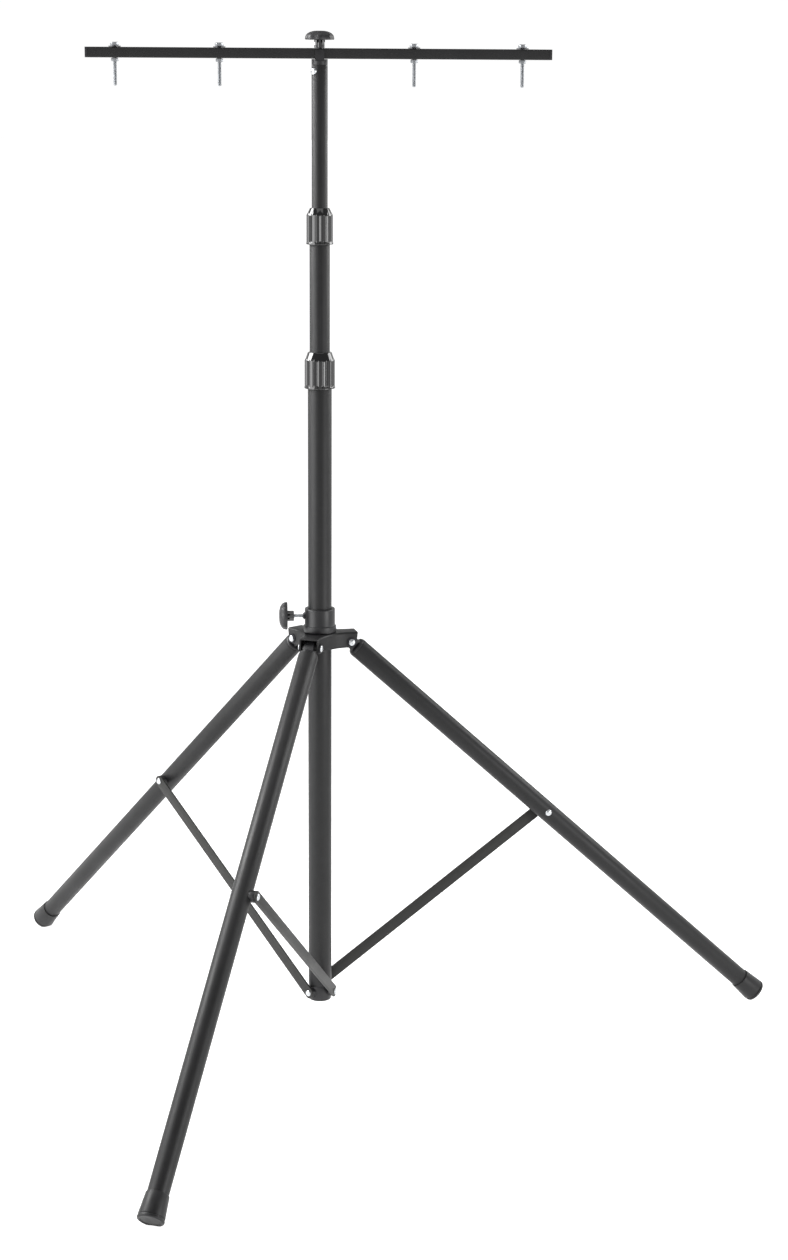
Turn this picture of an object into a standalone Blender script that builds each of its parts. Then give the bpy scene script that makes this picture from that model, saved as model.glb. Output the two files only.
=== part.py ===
"""Telescopic light stand: a folding tripod base, two telescoping tubes with twist locks and a lamp bar.

The origin is the middle of the column's bottom face, +Z runs up the column and +X along the lamp bar.
The stand is shown set up: legs spread, both tubes part way out.
"""

import math

import bmesh
import bpy
from mathutils import Matrix, Vector

MM = 0.001
GAP = 0.3 * MM

# Column tubes: outer diameters, one wall for all three
LOWER_TUBE_D = 38 * MM
MID_TUBE_D = 32 * MM
TOP_TUBE_D = 25 * MM
TUBE_WALL = 1.5 * MM
LOWER_TUBE_BOTTOM = 25 * MM
LOWER_TUBE_TOP = 1060 * MM
MID_TUBE_BOTTOM = 286 * MM
MID_TUBE_TOP = 1285 * MM
TOP_TUBE_BOTTOM = 518 * MM
TOP_TUBE_TOP = 1518 * MM

# Bottom plug with the three pads that the struts pivot on
PLUG_SPIGOT = 30 * MM
PAD_D = 17 * MM
STRUT_PIVOT_Z = 15 * MM

# Fold: three legs on the sliding hub, one strut from each leg to the bottom plug
FIRST_LEG_ANGLE = math.radians(10.3)
LEG_SPREAD = math.radians(47.7)
HUB_PIVOT_R = 49 * MM
HUB_PIVOT_Z = 608 * MM
LEG_LENGTH = 981 * MM
LEG_TUBE_D = 32 * MM
LEG_TUBE_START = 14 * MM
TONGUE_HALF = 8 * MM
TONGUE_EYE_R = 10 * MM
TONGUE_BOSS_R = 5.4 * MM
STRUT_RIVET_ALONG_LEG = 458 * MM
FLOOR_Z = -63.4 * MM

# Flat struts, each beside its leg and clear of the column
STRUT_INNER = 23 * MM
STRUT_THICKNESS = 3 * MM
STRUT_WIDTH = 19 * MM

# Rubber feet, wider at the floor
FOOT_D = 40 * MM
FOOT_MOUTH_D = 35.6 * MM
FOOT_LENGTH = 40 * MM
FOOT_END = 6 * MM

# Hub: a stamped three-armed channel under a turned sleeve
SHEET = 2.5 * MM
ARM_HALF_WIDTH = 16 * MM
ARM_LENGTH = 59.5 * MM
SPIDER_WAIST = 28.5 * MM
SPIDER_TOP = 624.5 * MM
SPIDER_DEPTH = 25 * MM
EAR_R = 8.5 * MM
SLEEVE_TOP = 663.9 * MM
SLEEVE_R = 24 * MM
SLEEVE_RIM_R = 26.4 * MM
SLEEVE_NECK_R = 22 * MM
HUB_KNOB_Z = 651 * MM
HUB_KNOB_ANGLE = math.radians(180)
HUB_KNOB_BACK = 52.3 * MM

# Rivets, screws and knobs
RIVET_R = 3 * MM
RIVET_HOLE_R = RIVET_R + GAP
RIVET_HEAD_R = 5.4 * MM
RIVET_HEAD_H = 2.6 * MM
WASHER_R = 7.8 * MM
WASHER_H = 1.2 * MM
KNOB_R = 22.4 * MM
KNOB_H = 13.5 * MM
KNOB_BOSS_R = 8 * MM
KNOB_LOBES = 8
KNOB_LOBE_DEPTH = 1.5 * MM

# Twist locks
LOWER_LOCK_Z = 1019 * MM
UPPER_LOCK_Z = 1244.5 * MM
LOCK_TWIST_WALL = 1.7 * MM
FLUTE_DEPTH = 0.8 * MM

# Lamp bar and what holds it
BAR_SIZE = 16 * MM
BAR_WALL = 1.5 * MM
BAR_LENGTH = 719 * MM
BAR_CAP = 4.5 * MM
BAR_BOTTOM = 1527.5 * MM
BAR_CORNER = 1.6 * MM
SADDLE_TOP = 1541 * MM
SADDLE_SPIGOT = 30 * MM
SADDLE_SCREW_Z = 1509 * MM
SADDLE_SCREW_ANGLE = math.radians(220)
LAMP_BOLT_X = (-314 * MM, -154 * MM, 146 * MM, 314 * MM)
LAMP_BOLT_R = 3 * MM
LAMP_BOLT_DROP = 42 * MM
LAMP_WASHER_R = 9.5 * MM
LAMP_WASHER_H = 1.4 * MM
LAMP_HEAD_FLATS = 12 * MM
LAMP_HEAD_H = 5.5 * MM
LAMP_NUT_FLATS = 10 * MM
LAMP_NUT_H = 5.4 * MM

ROUND_STEPS = 24
SMALL_STEPS = 10
PARTS_NAME = "telescopic_light_stand"
CUTTERS_NAME = "cutters"


# Scene, materials and placing

def clear_scene():
    for obj in list(bpy.data.objects):
        bpy.data.objects.remove(obj, do_unlink=True)


def collection(name):
    made = bpy.data.collections.new(name)
    bpy.context.scene.collection.children.link(made)
    return made


def material(name, colour, roughness, metallic):
    made = bpy.data.materials.new(name)
    made.use_nodes = True
    shader = made.node_tree.nodes["Principled BSDF"]
    shader.inputs["Base Color"].default_value = (*colour, 1)
    shader.inputs["Roughness"].default_value = roughness
    shader.inputs["Metallic"].default_value = metallic
    made.diffuse_color = (*colour, 1)
    return made


def black_tube(name):
    return material(name, (0.045, 0.046, 0.048), 0.38, 0.3)


def black_plastic(name):
    return material(name, (0.016, 0.016, 0.017), 0.3, 0.0)


def zinc(name):
    return material(name, (0.72, 0.73, 0.74), 0.25, 1.0)


def frame(name, origin=(0, 0, 0), z_axis=(0, 0, 1), x_axis=(1, 0, 0)):
    """An empty whose Z and X point as asked: the pieces of one body hang on it."""
    z = Vector(z_axis).normalized()
    y = z.cross(Vector(x_axis)).normalized()
    x = y.cross(z)
    turn = Matrix((x, y, z)).transposed().to_4x4()
    made = bpy.data.objects.new(name, None)
    made.empty_display_size = 20 * MM
    made.matrix_world = Matrix.Translation(Vector(origin)) @ turn
    parts.objects.link(made)
    return made


def place(obj, on, finish=None, at=(0, 0, 0)):
    """Put a piece on a frame, or a cutter where no finish is given."""
    obj.parent = on
    obj.location = at
    if finish is None:
        cutters.objects.link(obj)
        obj.hide_render = True
        obj.display_type = "WIRE"
    else:
        parts.objects.link(obj)
        obj.data.materials.clear()
        obj.data.materials.append(finish)
    return obj


# Solids

def smooth(mesh):
    mesh.shade_smooth()
    mesh.set_sharp_from_angle(angle=math.radians(35))


def as_mesh(obj):
    """The same object with its curve or modifiers turned into one welded mesh."""
    bpy.context.scene.collection.objects.link(obj)
    graph = bpy.context.evaluated_depsgraph_get()
    mesh = bpy.data.meshes.new_from_object(obj.evaluated_get(graph))
    weld = bmesh.new()
    weld.from_mesh(mesh)
    bmesh.ops.remove_doubles(weld, verts=weld.verts, dist=0.001 * MM)
    bmesh.ops.recalc_face_normals(weld, faces=weld.faces)
    weld.to_mesh(mesh)
    weld.free()
    smooth(mesh)
    made = bpy.data.objects.new(obj.name, mesh)
    made.matrix_world = obj.matrix_world
    name = obj.name
    bpy.data.objects.remove(obj, do_unlink=True)
    made.name = name
    return made


def turned(name, profile, ring=False, steps=ROUND_STEPS):
    """A profile of (radius, height) points, top to bottom down its outer side, turned round Z."""
    mesh = bpy.data.meshes.new(name)
    edges = [(i, i + 1) for i in range(len(profile) - 1)]
    if ring:
        edges.append((len(profile) - 1, 0))
    mesh.from_pydata([(r, 0, z) for r, z in profile], edges, [])
    obj = bpy.data.objects.new(name, mesh)
    screw = obj.modifiers.new("turn", "SCREW")
    screw.steps = steps
    screw.render_steps = steps
    screw.use_merge_vertices = True
    screw.merge_threshold = 0.005 * MM
    return as_mesh(obj)


def tube(name, radius, wall, bottom, top):
    inner = radius - wall
    return turned(name, [(radius, top), (radius, bottom), (inner, bottom), (inner, top)], ring=True)


def cylinder(name, radius, bottom, top, segments=SMALL_STEPS):
    mesh = bpy.data.meshes.new(name)
    shape = bmesh.new()
    bmesh.ops.create_cone(
        shape, cap_ends=True, segments=segments, radius1=radius, radius2=radius, depth=top - bottom
    )
    bmesh.ops.translate(shape, verts=shape.verts, vec=(0, 0, (top + bottom) / 2))
    shape.to_mesh(mesh)
    shape.free()
    return bpy.data.objects.new(name, mesh)


def box(name, size, centre=(0, 0, 0)):
    mesh = bpy.data.meshes.new(name)
    shape = bmesh.new()
    bmesh.ops.create_cube(shape, size=1)
    bmesh.ops.scale(shape, verts=shape.verts, vec=size)
    bmesh.ops.translate(shape, verts=shape.verts, vec=centre)
    shape.to_mesh(mesh)
    shape.free()
    return bpy.data.objects.new(name, mesh)


def plate(name, outlines, thickness):
    """Closed outlines in the XY plane, the first one outside and the rest holes, as thick as asked."""
    curve = bpy.data.curves.new(name, "CURVE")
    curve.dimensions = "2D"
    curve.fill_mode = "BOTH"
    curve.extrude = thickness / 2
    for outline in outlines:
        spline = curve.splines.new("POLY")
        spline.points.add(len(outline) - 1)
        for point, (x, y) in zip(spline.points, outline):
            point.co = (x, y, 0, 1)
        spline.use_cyclic_u = True
    return bpy.data.objects.new(name, curve)


def arc(centre, radius, start, end, count):
    """Points on an arc in degrees, both ends included."""
    steps = [math.radians(start + (end - start) * i / (count - 1)) for i in range(count)]
    return [(centre[0] + radius * math.cos(a), centre[1] + radius * math.sin(a)) for a in steps]


def circle(centre, radius, count=SMALL_STEPS):
    return arc(centre, radius, 0, 360, count + 1)[:-1]


def rounded_square(size, corner):
    half = size / 2 - corner
    points = []
    for quarter, (sx, sy) in enumerate(((1, 1), (-1, 1), (-1, -1), (1, -1))):
        points += arc((sx * half, sy * half), corner, 90 * quarter, 90 * quarter + 90, 3)
    return points


def cut(obj, cutter):
    boolean = obj.modifiers.new("cut", "BOOLEAN")
    boolean.operation = "DIFFERENCE"
    boolean.object = cutter


def join(obj, other):
    boolean = obj.modifiers.new("join", "BOOLEAN")
    boolean.operation = "UNION"
    boolean.object = other


def flute(mesh, count, depth, low, high, inside):
    """Press vertical flutes into the outer skin of a turned mesh between two heights."""
    for vertex in mesh.vertices:
        x, y, z = vertex.co
        radius = math.hypot(x, y)
        if radius > inside and low <= z <= high:
            wave = 0.5 - 0.5 * math.cos(count * math.atan2(y, x))
            shrink = 1 - depth * wave / radius
            vertex.co.x = x * shrink
            vertex.co.y = y * shrink


def radial(angle):
    return Vector((math.cos(angle), math.sin(angle), 0))


def tangent(angle):
    return Vector((-math.sin(angle), math.cos(angle), 0))


LEG_ANGLES = [FIRST_LEG_ANGLE + i * math.tau / 3 for i in range(3)]


# Column

def column_pieces(body):
    radius = LOWER_TUBE_D / 2
    lower_tube = tube("lower_tube", radius, TUBE_WALL, LOWER_TUBE_BOTTOM + GAP, LOWER_TUBE_TOP)
    place(lower_tube, body, black_tube("lower_tube_steel"))

    collar = radius - 0.5 * MM
    spigot = radius - TUBE_WALL - GAP
    chamfer = 2 * MM
    profile = [
        (0, LOWER_TUBE_BOTTOM + PLUG_SPIGOT),
        (spigot - chamfer, LOWER_TUBE_BOTTOM + PLUG_SPIGOT),
        (spigot, LOWER_TUBE_BOTTOM + PLUG_SPIGOT - chamfer),
        (spigot, LOWER_TUBE_BOTTOM),
        (collar, LOWER_TUBE_BOTTOM),
        (collar, chamfer),
        (collar - chamfer, 0),
        (0, 0),
    ]
    plug = place(turned("bottom_plug", profile), body, black_plastic("bottom_plug_plastic"))
    for number, angle in enumerate(LEG_ANGLES, 1):
        side = frame(f"pad_axis_{number}", (0, 0, STRUT_PIVOT_Z), tangent(angle), (0, 0, 1))
        pad = cylinder(f"pad_{number}", PAD_D / 2, 8 * MM, STRUT_INNER - GAP, ROUND_STEPS // 2)
        join(plug, place(pad, side))


def lock_pieces(prefix, fixed, turning, tube_d, inner_d, base_z, barrel, cone, outer_r, flutes, tube_top):
    """A twist lock: threaded base on the outer tube, split collet and fluted sleeve round the inner one."""
    height = barrel + cone
    base_r = outer_r - LOCK_TWIST_WALL - GAP
    bore_r = outer_r - LOCK_TWIST_WALL
    throat_r = inner_d / 2 + 0.4 * MM
    cone_start = barrel - 3.5 * MM
    cone_end = height - 3.5 * MM
    profile = [
        (throat_r + 2.8 * MM, height),
        (outer_r - 0.6 * MM, barrel + 0.6 * MM),
        (outer_r, barrel - 0.8 * MM),
        (outer_r, 3.4 * MM),
        (outer_r + 0.7 * MM, 0),
        (bore_r, 0),
        (bore_r, cone_start),
        (throat_r, cone_end),
        (throat_r, height),
    ]
    sleeve = turned(f"{prefix}_lock_sleeve", profile, ring=True, steps=3 * flutes)
    flute(sleeve.data, flutes, FLUTE_DEPTH, 3 * MM, barrel, outer_r - 0.3 * MM)
    place(sleeve, turning, black_plastic(f"{prefix}_lock_sleeve_plastic"))

    seat = tube_top - base_z
    base = tube(f"{prefix}_lock_base", base_r, base_r - tube_d / 2 - GAP, 5 * MM, seat - 0.5 * MM)
    place(base, fixed, black_plastic(f"{prefix}_lock_base_plastic"), (0, 0, base_z))

    def bore_at(z):
        part_way = (z - cone_start) / (cone_end - cone_start)
        return bore_r + (throat_r - bore_r) * part_way

    low = seat + GAP
    shoulder = cone_start + 1 * MM
    high = cone_end - 3 * MM
    inner = inner_d / 2 + GAP
    ring = [
        (bore_at(high) - 0.5 * MM, high),
        (bore_at(shoulder) - 0.5 * MM, shoulder),
        (bore_at(shoulder) - 0.5 * MM, low),
        (inner, low),
        (inner, high),
    ]
    collet = turned(f"{prefix}_lock_collet", ring, ring=True)
    place(collet, fixed, black_plastic(f"{prefix}_lock_collet_plastic"), (0, 0, base_z))
    slot = box(f"{prefix}_collet_slot", (2 * outer_r, 2.4 * MM, 60 * MM), (outer_r, 0, 0))
    cut(collet, place(slot, fixed, at=(0, 0, tube_top)))


def guide_bush(name, tube_d, outer_tube_d, bottom, body):
    """A cup on the tube's lower end that slides in the next tube down."""
    outer = outer_tube_d / 2 - TUBE_WALL - GAP
    inner = tube_d / 2 + GAP
    lip = tube_d / 2 - 4 * MM
    wall_top = bottom + 42 * MM
    profile = [
        (outer, wall_top),
        (outer, bottom - 3 * MM),
        (outer - 1 * MM, bottom - 4 * MM),
        (lip, bottom - 4 * MM),
        (lip, bottom - GAP),
        (inner, bottom - GAP),
        (inner, wall_top),
    ]
    place(turned(name, profile, ring=True), body, black_plastic(f"{name}_plastic"))


# Knobs, rivets and screws

def knob(name, boss, body):
    """A lobed knob with a crowned top. Its flat back is at z = 0 and its boss points down."""
    hole = RIVET_R + GAP
    profile = [
        (0, KNOB_H),
        (11 * MM, 12.7 * MM),
        (19 * MM, 10 * MM),
        (KNOB_R, 5.2 * MM),
        (KNOB_R, 0.8 * MM),
        (KNOB_R - 0.8 * MM, 0),
        (KNOB_BOSS_R, 0),
        (KNOB_BOSS_R, -boss + 0.8 * MM),
        (KNOB_BOSS_R - 0.8 * MM, -boss),
        (hole, -boss),
        (hole, 5 * MM),
        (0, 5 * MM),
    ]
    made = turned(name, profile, steps=4 * KNOB_LOBES)
    flute(made.data, KNOB_LOBES, KNOB_LOBE_DEPTH, -0.1 * MM, KNOB_H, 18 * MM)
    return place(made, body, black_plastic(f"{name}_plastic"))


def stud(name, bottom, top, body):
    """A plain threaded rod with a chamfered end."""
    chamfer = 0.8 * MM
    profile = [
        (0, top),
        (RIVET_R, top),
        (RIVET_R, bottom + chamfer),
        (RIVET_R - chamfer, bottom),
        (0, bottom),
    ]
    return place(turned(name, profile, steps=SMALL_STEPS), body, zinc(f"{name}_zinc"))


def rivet_profile(low_seat, high_seat, head_r=RIVET_HEAD_R, shank_r=RIVET_R, low_head=True):
    """A domed rivet along Z: shank between two seats, with a head above and one below."""
    head = [
        (0, high_seat + RIVET_HEAD_H),
        (0.55 * head_r, high_seat + 0.86 * RIVET_HEAD_H),
        (0.88 * head_r, high_seat + 0.45 * RIVET_HEAD_H),
        (head_r, high_seat),
        (shank_r, high_seat),
    ]
    if not low_head:
        return head + [(shank_r, low_seat), (0, low_seat)]
    foot = [(r, low_seat + high_seat - z) for r, z in reversed(head)]
    return head + foot


def saddle_head(name, head_r, seat, side):
    """A domed head that reaches in past its seat, for a cut that fits it to a round tube."""
    depth = 2.4 * MM
    profile = [
        (0, seat + side * RIVET_HEAD_H),
        (0.55 * head_r, seat + side * 0.86 * RIVET_HEAD_H),
        (0.88 * head_r, seat + side * 0.45 * RIVET_HEAD_H),
        (head_r, seat),
        (head_r, seat - side * depth),
        (0, seat - side * depth),
    ]
    return turned(name, profile, steps=SMALL_STEPS)


# Hub

def spider_outline(inset, length):
    """Three arms with wide fillets between them. The inset moves the sides in, the length opens the ends."""
    half = ARM_HALF_WIDTH - inset
    reach = (SPIDER_WAIST - ARM_HALF_WIDTH) / (1 - math.sin(math.tau / 6))
    fillet = reach - SPIDER_WAIST + inset
    points = []
    for angle in LEG_ANGLES:
        along = radial(angle)
        across = tangent(angle)
        for side in (-1, 1):
            corner = along * length + across * side * half
            points.append((corner.x, corner.y))
        centre = radial(angle + math.tau / 6) * reach
        start = math.degrees(angle) - 90
        points += arc((centre.x, centre.y), fillet, start, start - 60, 7)
    return points


def ear_corner_outline():
    """What is cut away round the lower outer corner of an arm, seen from the side: x out, y up."""
    pivot = (HUB_PIVOT_R, 0)
    top = SPIDER_TOP - HUB_PIVOT_Z
    edge = arc(pivot, EAR_R, -90, 0, 9)
    outside = 20 * MM
    edge += [(ARM_LENGTH, top), (ARM_LENGTH, top + outside), (ARM_LENGTH + outside, top + outside)]
    edge += [(ARM_LENGTH + outside, -outside), (HUB_PIVOT_R, -outside)]
    return edge


def hub_pieces(hub):
    middle = SPIDER_TOP - SPIDER_DEPTH / 2
    blank = as_mesh(plate("hub_spider", [spider_outline(0, ARM_LENGTH)], SPIDER_DEPTH))
    spider = place(blank, hub, black_tube("hub_spider_steel"), (0, 0, middle))
    hollow = as_mesh(plate("spider_hollow", [spider_outline(SHEET, ARM_LENGTH + 10 * MM)], SPIDER_DEPTH))
    cut(spider, place(hollow, hub, at=(0, 0, middle - SHEET)))
    hole = cylinder("spider_hole", SLEEVE_NECK_R + GAP, -10 * MM, 10 * MM, ROUND_STEPS)
    cut(spider, place(hole, hub, at=(0, 0, SPIDER_TOP)))
    for number, angle in enumerate(LEG_ANGLES, 1):
        side = frame(f"arm_{number}", (0, 0, HUB_PIVOT_Z), -tangent(angle), radial(angle))
        corner = as_mesh(plate(f"ear_corner_{number}", [ear_corner_outline()], 50 * MM))
        cut(spider, place(corner, side))
        rivet_hole = cylinder(f"ear_hole_{number}", RIVET_HOLE_R, -30 * MM, 30 * MM)
        cut(spider, place(rivet_hole, side, at=(HUB_PIVOT_R, 0, 0)))

    bore = LOWER_TUBE_D / 2 + GAP
    flange = SLEEVE_NECK_R + 3 * MM
    under = SPIDER_TOP - SHEET
    profile = [
        (bore, SLEEVE_TOP),
        (20.8 * MM, SLEEVE_TOP),
        (22.6 * MM, SLEEVE_TOP - 1.8 * MM),
        (23.6 * MM, SLEEVE_TOP - 3.6 * MM),
        (SLEEVE_R, SLEEVE_TOP - 5.6 * MM),
        (SLEEVE_R, SPIDER_TOP + 14 * MM),
        (SLEEVE_RIM_R - 0.8 * MM, SPIDER_TOP + 12 * MM),
        (SLEEVE_RIM_R, SPIDER_TOP + 9 * MM),
        (SLEEVE_RIM_R, SPIDER_TOP + 4.5 * MM),
        (SLEEVE_RIM_R - 1.8 * MM, SPIDER_TOP + GAP),
        (SLEEVE_NECK_R, SPIDER_TOP + GAP),
        (SLEEVE_NECK_R, under - GAP),
        (flange, under - GAP),
        (flange, under - 2.5 * MM),
        (bore, under - 3 * MM),
    ]
    sleeve = place(turned("hub_sleeve", profile, ring=True), hub, black_plastic("hub_sleeve_plastic"))

    knob_side = (HUB_KNOB_BACK * math.cos(HUB_KNOB_ANGLE), HUB_KNOB_BACK * math.sin(HUB_KNOB_ANGLE))
    outward = frame("hub_knob_axis", (*knob_side, HUB_KNOB_Z), radial(HUB_KNOB_ANGLE), (0, 0, 1))
    column_side = LOWER_TUBE_D / 2 - HUB_KNOB_BACK
    insert_r = 4.4 * MM
    sleeve_face = SLEEVE_R - HUB_KNOB_BACK
    cut(sleeve, place(cylinder("insert_hole", insert_r + GAP, -40 * MM, -20 * MM), outward))
    inner_end = bore + 0.8 * MM - HUB_KNOB_BACK
    insert = [
        (RIVET_R + GAP, sleeve_face + 3.4 * MM),
        (4 * MM, sleeve_face + 3.4 * MM),
        (5.8 * MM, sleeve_face + 1 * MM),
        (5.8 * MM, sleeve_face + GAP),
        (insert_r, sleeve_face + GAP),
        (insert_r, inner_end),
        (RIVET_R + GAP, inner_end),
    ]
    insert_body = turned("hub_thread_insert", insert, ring=True, steps=SMALL_STEPS)
    place(insert_body, outward, black_tube("hub_thread_insert_steel"))
    knob("hub_knob", 10.5 * MM, outward)
    stud("hub_knob_stud", column_side + GAP, 4.7 * MM, outward)


def hub_rivets():
    """Rivets of the three leg pivots. Their heads stand off the ears by the thickness of a washer."""
    seat = ARM_HALF_WIDTH + GAP + WASHER_H + GAP
    for number, angle in enumerate(LEG_ANGLES, 1):
        pivot = radial(angle) * HUB_PIVOT_R + Vector((0, 0, HUB_PIVOT_Z))
        across = frame(f"hub_rivet_axis_{number}", pivot, tangent(angle))
        rivet = turned(f"hub_rivet_{number}", rivet_profile(-seat, seat), steps=SMALL_STEPS)
        place(rivet, across, zinc(f"hub_rivet_{number}_zinc"))


def ring_at(name, outer, inner, bottom, top):
    return turned(name, [(outer, top), (outer, bottom), (inner, bottom), (inner, top)], True, SMALL_STEPS)


# Legs and struts

def strut_geometry():
    """Side view of one leg, x outward and y up: the strut's rivet on the leg, and the strut's length."""
    upper = Vector((
        HUB_PIVOT_R + STRUT_RIVET_ALONG_LEG * math.sin(LEG_SPREAD),
        HUB_PIVOT_Z - STRUT_RIVET_ALONG_LEG * math.cos(LEG_SPREAD),
    ))
    lower = Vector((0, STRUT_PIVOT_Z))
    return upper, (upper - lower).length


def leg_pieces(number, angle):
    along = radial(angle) * math.sin(LEG_SPREAD) - Vector((0, 0, math.cos(LEG_SPREAD)))
    pivot = radial(angle) * HUB_PIVOT_R + Vector((0, 0, HUB_PIVOT_Z))
    upward = radial(angle) * math.cos(LEG_SPREAD) + Vector((0, 0, math.sin(LEG_SPREAD)))
    leg = frame(f"leg_{number}_axis", pivot, along, upward)
    radius = LEG_TUBE_D / 2
    end = LEG_LENGTH - FOOT_END
    leg_tube = tube(f"leg_{number}_tube", radius, TUBE_WALL, LEG_TUBE_START, end)
    place(leg_tube, leg, black_tube(f"leg_{number}_steel"))

    spigot = radius - TUBE_WALL - GAP
    shoulder = LEG_TUBE_START - GAP
    profile = [
        (0, LEG_TUBE_START + 28 * MM),
        (spigot - 1.5 * MM, LEG_TUBE_START + 28 * MM),
        (spigot, LEG_TUBE_START + 26 * MM),
        (spigot, shoulder),
        (radius - 0.6 * MM, shoulder),
        (radius - 2.6 * MM, shoulder - 3.2 * MM),
        (radius - 6 * MM, shoulder - 5 * MM),
        (0, shoulder - 5 * MM),
    ]
    plug = turned(f"leg_{number}_top_plug", profile)
    place(plug, leg, black_plastic(f"leg_{number}_top_plug_plastic"))
    eye = TONGUE_EYE_R
    root = shoulder - 1.5 * MM
    side = arc((0, 0), eye, 180, 360, 9) + [(eye, root), (-eye, root)]
    tongue = as_mesh(plate(f"tongue_{number}", [side], 2 * TONGUE_HALF))
    for vertex in tongue.data.vertices:
        vertex.co.z *= 0.92 + 0.008 * (vertex.co.y + eye) / MM
    across = frame(f"tongue_axis_{number}", pivot, -leg.matrix_world.col[1].xyz, upward)
    join(plug, place(tongue, across))
    boss = ARM_HALF_WIDTH - SHEET - GAP
    join(plug, place(cylinder(f"tongue_boss_{number}", TONGUE_BOSS_R, -boss, boss), across))
    cut(plug, place(cylinder(f"tongue_hole_{number}", RIVET_HOLE_R, -20 * MM, 20 * MM), across))

    foot_r = FOOT_D / 2
    inner = radius + GAP
    mouth = LEG_LENGTH - FOOT_LENGTH
    profile = [
        (0, LEG_LENGTH),
        (foot_r - 5 * MM, LEG_LENGTH),
        (foot_r - 1.5 * MM, LEG_LENGTH - 1.5 * MM),
        (foot_r, LEG_LENGTH - 4 * MM),
        (foot_r - 0.1 * MM, LEG_LENGTH - 6 * MM),
        (foot_r - 1.3 * MM, LEG_LENGTH - 7.2 * MM),
        (foot_r - 0.3 * MM, LEG_LENGTH - 8.6 * MM),
        (FOOT_MOUTH_D / 2, mouth),
        (inner, mouth),
        (inner, end + GAP),
        (0, end + GAP),
    ]
    foot = place(turned(f"leg_{number}_foot", profile), leg, material(
        f"leg_{number}_foot_rubber", (0.02, 0.02, 0.02), 0.7, 0.0
    ))
    floor = box(f"floor_{number}", (200 * MM, 200 * MM, 40 * MM))
    reach = HUB_PIVOT_R + LEG_LENGTH * math.sin(LEG_SPREAD)
    sole = frame(f"floor_axis_{number}", radial(angle) * reach + Vector((0, 0, FLOOR_Z - 20 * MM)))
    cut(foot, place(floor, sole))

    strut_pieces(number, angle, leg, leg_tube)


def strut_pieces(number, angle, leg, leg_tube):
    upper, length = strut_geometry()
    at_rivet = radial(angle) * upper.x + Vector((0, 0, upper.y))
    down = Vector((0, 0, STRUT_PIVOT_Z)) - at_rivet
    outward = tangent(angle)
    strut = frame(f"strut_{number}_axis", at_rivet, outward, down)
    middle = STRUT_INNER + STRUT_THICKNESS / 2
    half = STRUT_WIDTH / 2
    ends = arc((0, 0), half, 270, 90, 11) + arc((length, 0), half, 90, -90, 11)
    holes = [circle((0, 0), RIVET_HOLE_R), circle((length, 0), RIVET_HOLE_R)]
    bar = as_mesh(plate(f"strut_{number}", [ends] + holes, STRUT_THICKNESS))
    place(bar, strut, black_tube(f"strut_{number}_steel"), (0, 0, middle))
    low_seat = STRUT_INNER
    high_seat = STRUT_INNER + STRUT_THICKNESS + GAP
    lower = turned(f"strut_{number}_lower_rivet", rivet_profile(low_seat, high_seat, low_head=False),
                   steps=SMALL_STEPS)
    place(lower, strut, zinc(f"strut_{number}_lower_rivet_zinc"), (length, 0, 0))

    radius = LEG_TUBE_D / 2
    across = frame(f"leg_rivet_axis_{number}", at_rivet, outward, down)
    skin = cylinder(f"leg_skin_{number}", radius + GAP, STRUT_RIVET_ALONG_LEG - 30 * MM,
                    STRUT_RIVET_ALONG_LEG + 30 * MM, 2 * ROUND_STEPS)
    place(skin, leg)
    shank = rivet_profile(-radius - 1 * MM, high_seat, low_head=False)
    upper_rivet = turned(f"strut_{number}_leg_rivet", shank, steps=SMALL_STEPS)
    place(upper_rivet, across, zinc(f"strut_{number}_leg_rivet_zinc"))
    foot = saddle_head(f"leg_rivet_foot_{number}", RIVET_HEAD_R, -radius - 0.6 * MM, -1)
    cut(place(foot, across), skin)
    join(upper_rivet, foot)
    spacer = ring_at(f"strut_{number}_spacer", 9.2 * MM, RIVET_HOLE_R, radius - 3 * MM, STRUT_INNER - GAP)
    place(spacer, across, black_plastic(f"strut_{number}_spacer_plastic"))
    cut(spacer, skin)
    hole = cylinder(f"leg_rivet_hole_{number}", RIVET_HOLE_R, -30 * MM, 30 * MM)
    cut(leg_tube, place(hole, across))


# Lamp bar

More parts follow.
